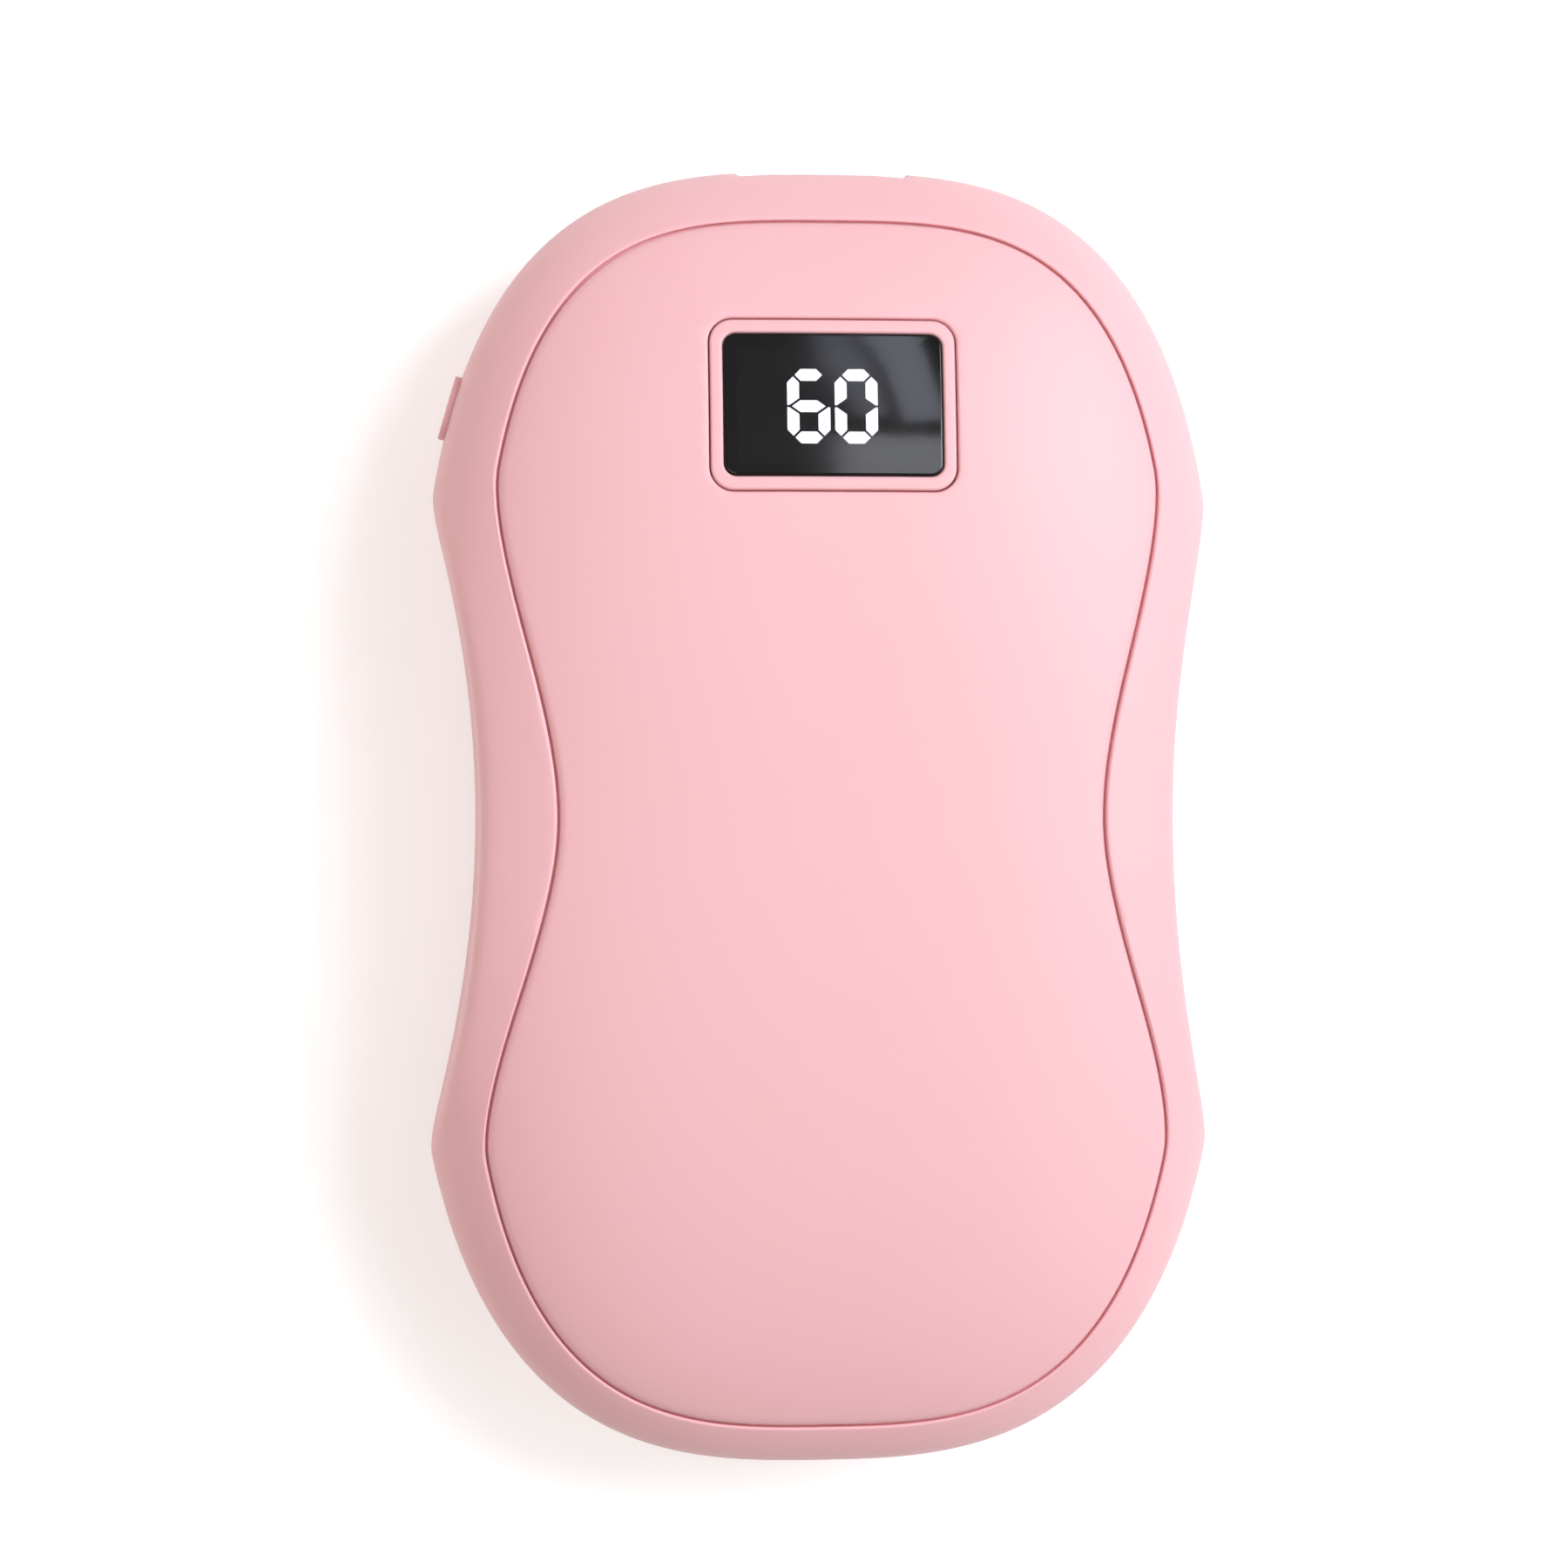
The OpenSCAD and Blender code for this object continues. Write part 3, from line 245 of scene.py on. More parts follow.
def bar(low: Sequence[float], high: Sequence[float]) -> bpy.types.Object:
    """Rectangular bar between two corners, in millimetres.

    Args:
        low: Its lowest corner.
        high: Its highest corner.

    Returns:
        The new bar.
    """
    clear_selection()
    middle = [(a + b) / 2 * MM for a, b in zip(low, high)]
    size = [(b - a) * MM for a, b in zip(low, high)]
    bpy.ops.mesh.primitive_cube_add(size=1, location=middle, scale=size)
    bpy.ops.object.transform_apply(location=True, rotation=True, scale=True)
    return bpy.context.object


def flipped(rings: Sequence[Ring], side: Side) -> list[Ring]:
    """Rings of a front half, turned over for the back."""
    return [[Vector((p.x, p.y, p.z * side.value)) for p in ring] for ring in rings]


# Shape of the body


def soft_min(a: float, b: float, blend: float) -> float:
    """The lower of two values, with the corner between them rounded over a length."""
    over = max(blend - abs(a - b), 0) / blend
    return min(a, b) - over * over * blend / 4


def smooth_step(t: float) -> float:
    """Eases from 0 to 1 while t goes from 0 to 1."""
    t = min(max(t, 0.0), 1.0)
    return t * t * (3 - 2 * t)


def ray(bearing: float, reach: float) -> Spot:
    """Point at a bearing from the right and a distance from the middle."""
    return reach * math.cos(bearing), reach * math.sin(bearing)


def lift(spot: Spot, height: float) -> Vector:
    """Point of the plan raised to a height."""
    return Vector((spot[0], spot[1], height))


@dataclass(frozen=True)
class Pebble:
    """Outer and inner skin of the body: two lobes, a waist and a dome on each face."""

    half_len: float
    crown: float
    mid_z: float
    top_lobe: float = 35.9
    low_lobe: float = 36.7
    top_square: float = 3.06
    low_square: float = 2.87
    blend_share: float = 0.3
    waist: float = 30.5
    scoop_r: float = 94.5
    crease_soft: float = 1.4
    section_power: float = 2.5
    wall: float = 1.8
    rim_depth: float = 3.2
    crease_limit: float = math.radians(60)

    @classmethod
    def from_frame(cls) -> "Pebble":
        """Reads the length, the height of the dome and the parting line from the frame.

        Returns:
            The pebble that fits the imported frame.
        """
        shell_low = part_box("front_shell")[0]
        cover_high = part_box("front_cover")[1]
        return cls(
            half_len=-shell_low.y / MM,
            crown=(cover_high.z - shell_low.z) / MM,
            mid_z=shell_low.z / MM,
        )

    def mixed(self, low: float, top: float, bearing: float) -> float:
        """Value of the far lobe, blended into that of the upper lobe past the waist."""
        return low + (top - low) * smooth_step((math.sin(bearing) / self.blend_share + 1) / 2)

    def lobe(self, bearing: float) -> float:
        """Reach of the unscooped pebble at a bearing.

        Args:
            bearing: Bearing from the right.

        Returns:
            The reach from the middle.
        """
        width = self.mixed(self.low_lobe, self.top_lobe, bearing)
        power = self.mixed(self.low_square, self.top_square, bearing)
        across = abs(math.cos(bearing)) / width
        along = abs(math.sin(bearing)) / self.half_len
        return (across**power + along**power) ** (-1 / power)

    def scoop(self, bearing: float, inset: float) -> float:
        """Reach of the scooped side at a bearing, or far outside where it doesn't cut.

        Args:
            bearing: Bearing from the right.
            inset: How far the skin is moved in.

        Returns:
            The reach from the middle.
        """
        across = abs(math.cos(bearing))
        centre = self.waist + self.scoop_r
        inside = (across * centre) ** 2 - centre**2 + (self.scoop_r + inset) ** 2
        return across * centre - math.sqrt(inside) if inside > 0 else 2 * self.half_len

    def skin(self, bearing: float, share: float, inset: float) -> float:
        """Reach of the skin at a bearing, for a share of the lobe's reach.

        Args:
            bearing: Bearing from the right.
            share: Share of the lobe's reach.
            inset: How far the skin is moved in.

        Returns:
            The reach from the middle.
        """
        domed = share * (self.lobe(bearing) - inset)
        return soft_min(domed, self.scoop(bearing, inset), self.crease_soft)

    def rise(self, share: float, top: float) -> float:
        """Height of a dome at a share of its reach."""
        return top * (1 - min(share, 1.0) ** self.section_power) ** (1 / self.section_power)

    def share_at(self, height: float, top: float) -> float:
        """Share of a dome's reach at which it has a height."""
        return (1 - (abs(height) / top) ** self.section_power) ** (1 / self.section_power)

    def dome(self, spot: Spot) -> float:
        """Height of the outer dome over a point of the plan."""
        return self.rise(math.hypot(*spot) / self.lobe(math.atan2(spot[1], spot[0])), self.crown)

    def inner_dome(self, spot: Spot) -> float:
        """Height of the inner dome over a point of the plan."""
        reach = self.lobe(math.atan2(spot[1], spot[0])) - self.wall
        return self.rise(math.hypot(*spot) / reach, self.crown - self.rim_depth)

    def end(self, across: float, height: float) -> float:
        """Finds how far the end wall reaches along Y.

        Args:
            across: Place along X.
            height: Height over the parting line, or under it.

        Returns:
            The place along Y.
        """
        power = self.top_square
        share = self.share_at(height, self.crown) ** power
        return self.half_len * (share - (abs(across) / self.top_lobe) ** power) ** (1 / power)

    def crease(self, way: int) -> float:
        """Bearing of the crease where a scoop meets a lobe.

        Args:
            way: 1 for the upper lobe, -1 for the far lobe.

        Returns:
            The bearing from the right, without its sign.
        """
        low, high = 0.0, self.crease_limit
        for _ in range(HALVINGS):
            middle = (low + high) / 2
            scooped = self.scoop(way * middle, 0) < self.lobe(way * middle)
            low, high = (middle, high) if scooped else (low, middle)
        return (low + high) / 2


@dataclass(frozen=True)
class CoverOutline:
    """Plan outline that the groove follows: two lobes, and flanks that turn at the waist."""

    pebble: Pebble
    rim_port: float = 5.0
    rim_low: float = 4.0
    rim_top_side: float = 5.4
    rim_low_side: float = 5.05
    rim_waist: float = 6.65
    waist_shift: float = 0.5
    waist_bend: float = 3.1
    lobe_bend: float = 4.7
    top_square: float = 3.36
    low_square: float = 3.1
    top_flank: float = 0.32
    low_flank: float = 0.36
    probe: float = math.radians(0.25)
    least_square: float = 0.005

    def lobe(self, bearing: float) -> float:
        """Reach of the outline's lobes at a bearing.

        Args:
            bearing: Bearing from the right.

        Returns:
            The reach from the middle.
        """
        body = self.pebble
        low_width = body.low_lobe - self.rim_low_side
        width = body.mixed(low_width, body.top_lobe - self.rim_top_side, bearing)
        low_length = body.half_len - self.rim_low
        length = body.mixed(low_length, body.half_len - self.rim_port, bearing)
        power = body.mixed(self.low_square, self.top_square, bearing)
        across = abs(math.cos(bearing)) / width
        along = abs(math.sin(bearing)) / length
        return (across**power + along**power) ** (-1 / power)

    def flank(self, bearing: float) -> float:
        """Reach of the flank, which bends round the waist as a hyperbola does.

        Args:
            bearing: Bearing from the right.

        Returns:
            The reach from the middle, or far outside where the flank doesn't reach.
        """
        sine, cosine = math.sin(bearing), abs(math.cos(bearing))
        middle = self.pebble.waist - self.rim_waist - self.waist_bend
        upper = sine * self.pebble.half_len > self.waist_shift
        slope = self.top_flank if upper else self.low_flank
        square = cosine**2 - (slope * sine) ** 2
        half = middle * cosine - slope**2 * sine * self.waist_shift
        rest = middle**2 - self.waist_bend**2 - (slope * self.waist_shift) ** 2
        inside = half**2 - square * rest
        if square <= self.least_square or inside < 0:
            return 2 * self.pebble.half_len
        return (half + math.sqrt(inside)) / square

    @lru_cache(maxsize=None)
    def spot(self, bearing: float) -> Spot:
        """Point of the outline at a bearing."""
        return ray(bearing, soft_min(self.lobe(bearing), self.flank(bearing), self.lobe_bend))

    @lru_cache(maxsize=None)
    def normal(self, bearing: float) -> Spot:
        """Direction square to the outline at a bearing, pointing out.

        Args:
            bearing: Bearing from the right.

        Returns:
            The direction, of length 1.
        """
        ahead, behind = self.spot(bearing + self.probe), self.spot(bearing - self.probe)
        along = Vector((ahead[0] - behind[0], ahead[1] - behind[1])).normalized()
        return along.y, -along.x

    def edge(self, bearing: float, out: float) -> Spot:
        """Point of the outline moved out by a distance."""
        spot, normal = self.spot(bearing), self.normal(bearing)
        return spot[0] + out * normal[0], spot[1] + out * normal[1]


def span(start: float, stop: float, steps: int) -> list[float]:
    """Evenly spaced values from start, without stop."""
    return [start + (stop - start) * i / steps for i in range(steps)]


def fillet(radius: float, steps: int = 6) -> list[Spot]:
    """Rounded lip as pairs of inset from the wall and depth under the surface."""
    turns = [math.pi / 2 * i / steps for i in range(steps + 1)]
    return [(radius * (1 - math.sin(t)), radius * (1 - math.cos(t))) for t in turns]


def shares(rings: int, pole: float = POLE) -> list[float]:
    """Shares that draw an outline in ring by ring, and last to a pole."""
    return [1 - i / rings for i in range(1, rings)] + [pole]


def rounded_rect(width: float, height: float, radius: float, steps: int = 10) -> list[Spot]:
    """Outline of a rectangle with round corners, counted from its upper right corner.

    Args:
        width: Its width.
        height: Its height.
        radius: Radius of its corners.
        steps: How many steps each corner takes.

    Returns:
        Its points, with as many on each corner and on each side for every size.
    """
    reach = Vector((width / 2 - radius, height / 2 - radius))
    points: list[Spot] = []
    for quarter in range(4):
        sign = Vector(((1, -1, -1, 1)[quarter], (1, 1, -1, -1)[quarter]))
        centre = Vector((sign.x * reach.x, sign.y * reach.y))
        for i in range(steps + 1):
            turn = math.pi / 2 * (quarter + i / steps)
            across, along = ray(turn, radius)
            points.append((centre.x + across, centre.y + along))
    return subdivided(points, steps, SIDE_PARTS)


def subdivided(corners: Sequence[Spot], steps: int, parts: int) -> list[Spot]:
    """Adds points along the straight side after each corner's arc.

    Args:
        corners: Points of the four arcs, one arc after another.
        steps: How many steps each arc takes.
        parts: How many parts each straight side is split into.

    Returns:
        The whole outline.
    """
    points: list[Spot] = []
    for i, point in enumerate(corners):
        points.append(point)
        if i % (steps + 1) == steps:
            ahead = corners[(i + 1) % len(corners)]
            for k in range(1, parts):
                t = k / parts
                across, along = (a + (b - a) * t for a, b in zip(point, ahead))
                points.append((across, along))
    return points


def grown_rect(width: float, height: float, radius: float, grow: float) -> list[Spot]:
    """Outline of a rounded rectangle grown on all sides by a distance."""
    return rounded_rect(width + 2 * grow, height + 2 * grow, max(radius + grow, LEAST_CORNER))


# Finishes


def linear(colour: str) -> tuple[float, float, float, float]:
    """Turns an sRGB hex value into linear colour with full alpha.

    Args:
        colour: The hex value, with its hash sign.

    Returns:
        Red, green, blue and alpha.
    """
    parts = [int(colour[i : i + 2], 16) / 255 for i in (1, 3, 5)]
    turned = [p / 12.92 if p <= 0.04045 else ((p + 0.055) / 1.055) ** 2.4 for p in parts]
    return turned[0], turned[1], turned[2], 1.0


def add_node(
    tree: bpy.types.NodeTree,
    kind: str,
    settings: Mapping[str, object] | None = None,
    links: Mapping[str, bpy.types.NodeSocket] | None = None,
) -> bpy.types.Node:
    """Adds a node with its settings and the links into it.

    Args:
        tree: Node tree that takes it.
        kind: Blender's name of the node's type.
        settings: Values by socket identifier, or else by property name.
        links: Sockets that feed it, by socket identifier.

    Returns:
        The new node.
    """
    node = tree.nodes.new(kind)
    for key, value in (settings or {}).items():
        if hasattr(node, key):
            setattr(node, key, value)
    sockets = {socket.identifier: socket for socket in node.inputs}
    for key, value in (settings or {}).items():
        if key in sockets:
            sockets[key].default_value = value
    for key, source in (links or {}).items():
        tree.links.new(source, sockets[key])
    return node


def output(node: bpy.types.Node, identifier: str) -> bpy.types.NodeSocket:
    """Output socket of a node by its identifier, where several share a name."""
    return next(socket for socket in node.outputs if socket.identifier == identifier)


def per_mm(size: float) -> float:
    """Texture scale that repeats once in a number of millimetres."""
    return 1 / (size * MM)


@dataclass(frozen=True)
class Finish:
    """A surface: what it is made of, and how its surface was made."""

    title: str
    colour: str
    roughness: float
    ior: float = 1.5
    metallic: float = 0.0

    def material(self) -> bpy.types.Material:
        """Makes the node material and lets the finish draw its own pattern.

        Returns:
            The new material.
        """
        made = bpy.data.materials.new(self.title)
        made.use_nodes = True
        tree = made.node_tree
        tree.nodes.clear()
        shader = add_node(
            tree,
            "ShaderNodeBsdfPrincipled",
            {
                "Base Color": linear(self.colour),
                "Roughness": self.roughness,
                "IOR": self.ior,
                "Metallic": self.metallic,
            },
        )
        add_node(tree, "ShaderNodeOutputMaterial", links={"Surface": shader.outputs["BSDF"]})
        place = add_node(tree, "ShaderNodeTexCoord").outputs["Object"]
        self.pattern(tree, shader, place)
        return made

    def pattern(
        self, tree: bpy.types.NodeTree, shader: bpy.types.Node, place: bpy.types.NodeSocket
    ) -> None:
        """Draws the pattern of the finish. The plain finish has none.

        Args:
            tree: Node tree of the material.
            shader: Its Principled node.
            place: Socket that gives the place on the piece.
        """


@dataclass(frozen=True)
class Grained(Finish):
    """Moulded or coated plastic with an eroded grain.

    The grain breaks the highlight up, and a slow drift of gloss, and of tone where one is
    given, keeps a large face alive. Real grain is finer, and is drawn as coarse as shows.
    """

    grain: float = 0.3
    depth: float = 0.006
    drift: float = 9.0
    tone: str = ""
    spread: float = 0.04

    def pattern(
        self, tree: bpy.types.NodeTree, shader: bpy.types.Node, place: bpy.types.NodeSocket
    ) -> None:
        """Draws the grain, a drift of tone and a drift of gloss.

        Args:
            tree: Node tree of the material.
            shader: Its Principled node.
            place: Socket that gives the place on the piece.
        """
        grain = add_node(
            tree,
            "ShaderNodeTexNoise",
            {"Scale": per_mm(self.grain), "Detail": 3.0, "Roughness": 0.6},
            {"Vector": place},
        )
        bump = add_node(
            tree,
            "ShaderNodeBump",
            {"Strength": 1.0, "Distance": self.depth * MM},
            {"Height": grain.outputs["Fac"]},
        )
        tree.links.new(bump.outputs["Normal"], shader.inputs["Normal"])
        slow = add_node(
            tree,
            "ShaderNodeTexNoise",
            {"Scale": per_mm(self.drift), "Detail": 4.0, "Roughness": 0.55},
            {"Vector": place},
        )
        gloss = add_node(
            tree,
            "ShaderNodeMapRange",
            {"To Min": self.roughness - self.spread, "To Max": self.roughness + self.spread},
            {"Value": slow.outputs["Fac"]},
        )
        tree.links.new(gloss.outputs["Result"], shader.inputs["Roughness"])
        if self.tone:
            tone = add_node(
                tree,
                "ShaderNodeMix",
                {"data_type": "RGBA", "A_Color": linear(self.colour), "B_Color": linear(self.tone)},
                {"Factor_Float": slow.outputs["Fac"]},
            )
            tree.links.new(output(tone, "Result_Color"), shader.inputs["Base Color"])


@dataclass(frozen=True)
class Acrylic(Finish):
    """Cast or drawn acrylic, clear or milky. It shows what glows behind it."""

    clear: float = 1.0
    ripple: float = 6.0
    ripple_depth: float = 0.0015

    def pattern(
        self, tree: bpy.types.NodeTree, shader: bpy.types.Node, place: bpy.types.NodeSocket
    ) -> None:
        """Sets the glass and draws the faint ripple that polishing leaves.

        Args:
            tree: Node tree of the material.
            shader: Its Principled node.
            place: Socket that gives the place on the piece.
        """
        shader.inputs["Transmission Weight"].default_value = self.clear
        ripple = add_node(
            tree,
            "ShaderNodeTexNoise",
            {"Scale": per_mm(self.ripple), "Detail": 1.0},
            {"Vector": place},
        )
        bump = add_node(
            tree,
            "ShaderNodeBump",
            {"Strength": 1.0, "Distance": self.ripple_depth * MM},
            {"Height": ripple.outputs["Fac"]},
        )
        tree.links.new(bump.outputs["Normal"], shader.inputs["Normal"])


@dataclass(frozen=True)
class PrintedAcrylic(Acrylic):
    """Smoked acrylic with a black border printed round what it shows.

    The border hides the ledge that the window is glued to.
    """

    middle: Spot = (0.0, 36.2)
    opening: Spot = (16.8, 10.1)
    ink: str = "#040405"

    def pattern(
        self, tree: bpy.types.NodeTree, shader: bpy.types.Node, place: bpy.types.NodeSocket
    ) -> None:
        """Draws the border where either share of the opening's half size is over one.

        Args:
            tree: Node tree of the material.
            shader: Its Principled node.
            place: Socket that gives the place on the piece.
        """
        super().pattern(tree, shader, place)
        middle = Vector((*self.middle, 0)) * MM
        half = Vector((*self.opening, self.opening[0])) * MM / 2
        off = add_node(
            tree,
            "ShaderNodeVectorMath",
            {"operation": "SUBTRACT", "Vector_001": middle},
            {"Vector": place},
        )
        share = add_node(
            tree,
            "ShaderNodeVectorMath",
            {"operation": "DIVIDE", "Vector_001": half},
            {"Vector": off.outputs["Vector"]},
        )
        size = add_node(
            tree,
            "ShaderNodeVectorMath",
            {"operation": "ABSOLUTE"},
            {"Vector": share.outputs["Vector"]},
        )
        split = add_node(tree, "ShaderNodeSeparateXYZ", links={"Vector": size.outputs["Vector"]})
        most = add_node(
            tree,
            "ShaderNodeMath",
            {"operation": "MAXIMUM"},
            {"Value": split.outputs["X"], "Value_001": split.outputs["Y"]},
        )
        printed = add_node(
            tree,
            "ShaderNodeMath",
            {"operation": "GREATER_THAN", "Value_001": 1.0},
            {"Value": most.outputs["Value"]},
        )
        dye = add_node(
            tree,
            "ShaderNodeMix",
            {"data_type": "RGBA", "A_Color": linear(self.colour), "B_Color": linear(self.ink)},
            {"Factor_Float": printed.outputs["Value"]},
        )
        tree.links.new(output(dye, "Result_Color"), shader.inputs["Base Color"])


@dataclass(frozen=True)
class Glowing(Finish):
    """White diffuser over a lamp, a little clouded, so that each bar glows evenly."""

    strength: float = 19.0
    cloud: float = 1.2
    shade: str = "#F2F4FF"

    def pattern(
        self, tree: bpy.types.NodeTree, shader: bpy.types.Node, place: bpy.types.NodeSocket
    ) -> None:
        """Sets the glow and clouds it a little, as milky plastic does.

        Args:
            tree: Node tree of the material.
            shader: Its Principled node.
            place: Socket that gives the place on the piece.
        """
        shader.inputs["Emission Strength"].default_value = self.strength
        cloud = add_node(
            tree,
            "ShaderNodeTexNoise",
            {"Scale": per_mm(self.cloud), "Detail": 2.0},
            {"Vector": place},
        )
        milk = add_node(
            tree,
            "ShaderNodeMix",
            {"data_type": "RGBA", "A_Color": linear(self.shade), "B_Color": linear(self.colour)},
            {"Factor_Float": cloud.outputs["Fac"]},
        )
        tree.links.new(output(milk, "Result_Color"), shader.inputs["Emission Color"])


@dataclass(frozen=True)
class Metal(Finish):
    """Rolled, stamped or plated metal with fine lines along one axis."""

    metallic: float = 1.0
    stretch: Place = (1.0, 0.05, 1.0)
    line: float = 0.15
    depth: float = 0.002
    spread: float = 0.08

    def pattern(
        self, tree: bpy.types.NodeTree, shader: bpy.types.Node, place: bpy.types.NodeSocket
    ) -> None:
        """Draws the lines as a stretched noise in the gloss and the relief.

        Args:
            tree: Node tree of the material.
            shader: Its Principled node.
            place: Socket that gives the place on the piece.
        """
        along = add_node(tree, "ShaderNodeMapping", {"Scale": self.stretch}, {"Vector": place})
        lines = add_node(
            tree,
            "ShaderNodeTexNoise",
            {"Scale": per_mm(self.line), "Detail": 4.0, "Roughness": 0.65},
            {"Vector": along.outputs["Vector"]},
        )
        gloss = add_node(
            tree,
            "ShaderNodeMapRange",
            {"To Min": self.roughness - self.spread, "To Max": self.roughness + self.spread},
            {"Value": lines.outputs["Fac"]},
        )
        tree.links.new(gloss.outputs["Result"], shader.inputs["Roughness"])
        bump = add_node(
            tree,
            "ShaderNodeBump",
            {"Strength": 1.0, "Distance": self.depth * MM},
            {"Height": lines.outputs["Fac"]},
        )
        tree.links.new(bump.outputs["Normal"], shader.inputs["Normal"])


@dataclass(frozen=True)
class SolderMask(Finish):
    """Glass-fibre board under a coloured lacquer. The copper tracks stand up under it."""

    track: str = "#2E7A52"
    pitch: float = 1.6
    run: float = 9.6
    gap: float = 1.6 / 3
    relief: float = 0.03

    def pattern(
        self, tree: bpy.types.NodeTree, shader: bpy.types.Node, place: bpy.types.NodeSocket
    ) -> None:
        """Draws the tracks as long bricks, paler and raised.

        Args:
            tree: Node tree of the material.
            shader: Its Principled node.
            place: Socket that gives the place on the piece.
        """
        tracks = add_node(
            tree,
            "ShaderNodeTexBrick",
            {
                "Scale": per_mm(1),
                "Brick Width": self.run,
                "Row Height": self.pitch,
                "Mortar Size": self.gap,
                "Mortar Smooth": 0.1,
                "Color1": linear(self.track),
                "Color2": linear(self.track),
                "Mortar": linear(self.colour),
            },
            {"Vector": place},
        )
        tree.links.new(tracks.outputs["Color"], shader.inputs["Base Color"])
        bump = add_node(
            tree,
            "ShaderNodeBump",
            {"Strength": 1.0, "Distance": -self.relief * MM},
            {"Height": tracks.outputs["Fac"]},
        )
        tree.links.new(bump.outputs["Normal"], shader.inputs["Normal"])


@dataclass(frozen=True)
class EtchedFilm(Finish):
    """Polyimide film with a heating track etched in it, seen through amber varnish."""

    track: str = "#8A4A12"
    pitch: float = 2.4
    relief: float = 0.02

    def pattern(
        self, tree: bpy.types.NodeTree, shader: bpy.types.Node, place: bpy.types.NodeSocket
    ) -> None:
        """Draws the track as even bands.

        Args:
            tree: Node tree of the material.
            shader: Its Principled node.
            place: Socket that gives the place on the piece.
        """
        bands = add_node(
            tree,
            "ShaderNodeTexWave",
            {"bands_direction": "Y", "Scale": per_mm(self.pitch) / TURN, "Distortion": 0.0},
            {"Vector": place},
        )
        tone = add_node(
            tree,
            "ShaderNodeMix",
            {"data_type": "RGBA", "A_Color": linear(self.colour), "B_Color": linear(self.track)},
            {"Factor_Float": bands.outputs["Fac"]},
        )
        tree.links.new(output(tone, "Result_Color"), shader.inputs["Base Color"])
        bump = add_node(
            tree,
            "ShaderNodeBump",
            {"Strength": 1.0, "Distance": self.relief * MM},
            {"Height": bands.outputs["Fac"]},
        )
        tree.links.new(bump.outputs["Normal"], shader.inputs["Normal"])


@dataclass(frozen=True)
class Foam(Finish):
    """Closed-cell foam cut from a block, so that its face is open bubbles."""

    cell: float = 0.6
    # Painted shade: near-black colour at the bottom of each pit, where shade would fall
    pit_shade: str = "#1E2022"
    relief: float = 0.15

    def pattern(
        self, tree: bpy.types.NodeTree, shader: bpy.types.Node, place: bpy.types.NodeSocket
    ) -> None:
        """Draws the cut bubbles as cells, with painted shade darkening the bottom of each.

        Args:
            tree: Node tree of the material.
            shader: Its Principled node.
            place: Socket that gives the place on the piece.
        """
        cells = add_node(
            tree, "ShaderNodeTexVoronoi", {"Scale": per_mm(self.cell)}, {"Vector": place}
        )
        # Painted shade: the mix darkens each cell towards its middle, the bottom of the pit
        tone = add_node(
            tree,
            "ShaderNodeMix",
            {"data_type": "RGBA", "A_Color": linear(self.pit_shade), "B_Color": linear(self.colour)},
            {"Factor_Float": cells.outputs["Distance"]},
        )
        tree.links.new(output(tone, "Result_Color"), shader.inputs["Base Color"])
        bump = add_node(
            tree,
            "ShaderNodeBump",
            {"Strength": 1.0, "Distance": self.relief * MM},
            {"Height": cells.outputs["Distance"]},
        )
        tree.links.new(bump.outputs["Normal"], shader.inputs["Normal"])


class Slot(Enum):
    """Material slot of the record."""

    SHELL = "shell_pink"
    COVER = "cover_pink"
    WINDOW = "window_smoke"
    MODULE = "module_black"
    LIT = "segment_lit"
    UNLIT = "segment_unlit"
    SOCKET = "socket_steel"
    LIGHT = "light_clear"
    TONGUE = "tongue_black"
    CONTACT = "contact_gold"
    BOARD = "board_green"
    CELL_BOARD = "board_blue"
    CHIP = "chip_black"
    CAPACITOR = "capacitor_tan"
    CONNECTOR = "connector_white"
    POUCH = "pouch_silver"
    SPREADER = "spreader_aluminium"
    FILM = "film_amber"
    FOAM = "foam_grey"
    TAPE = "tape_white"
    WIRE_RED = "wire_red"
    WIRE_BLACK = "wire_black"
    WIRE_TINNED = "wire_tinned"
    SENSOR = "sensor_black"
    SWITCH = "switch_black"
    PLUNGER = "plunger_grey"
    SCREW = "screw_steel"


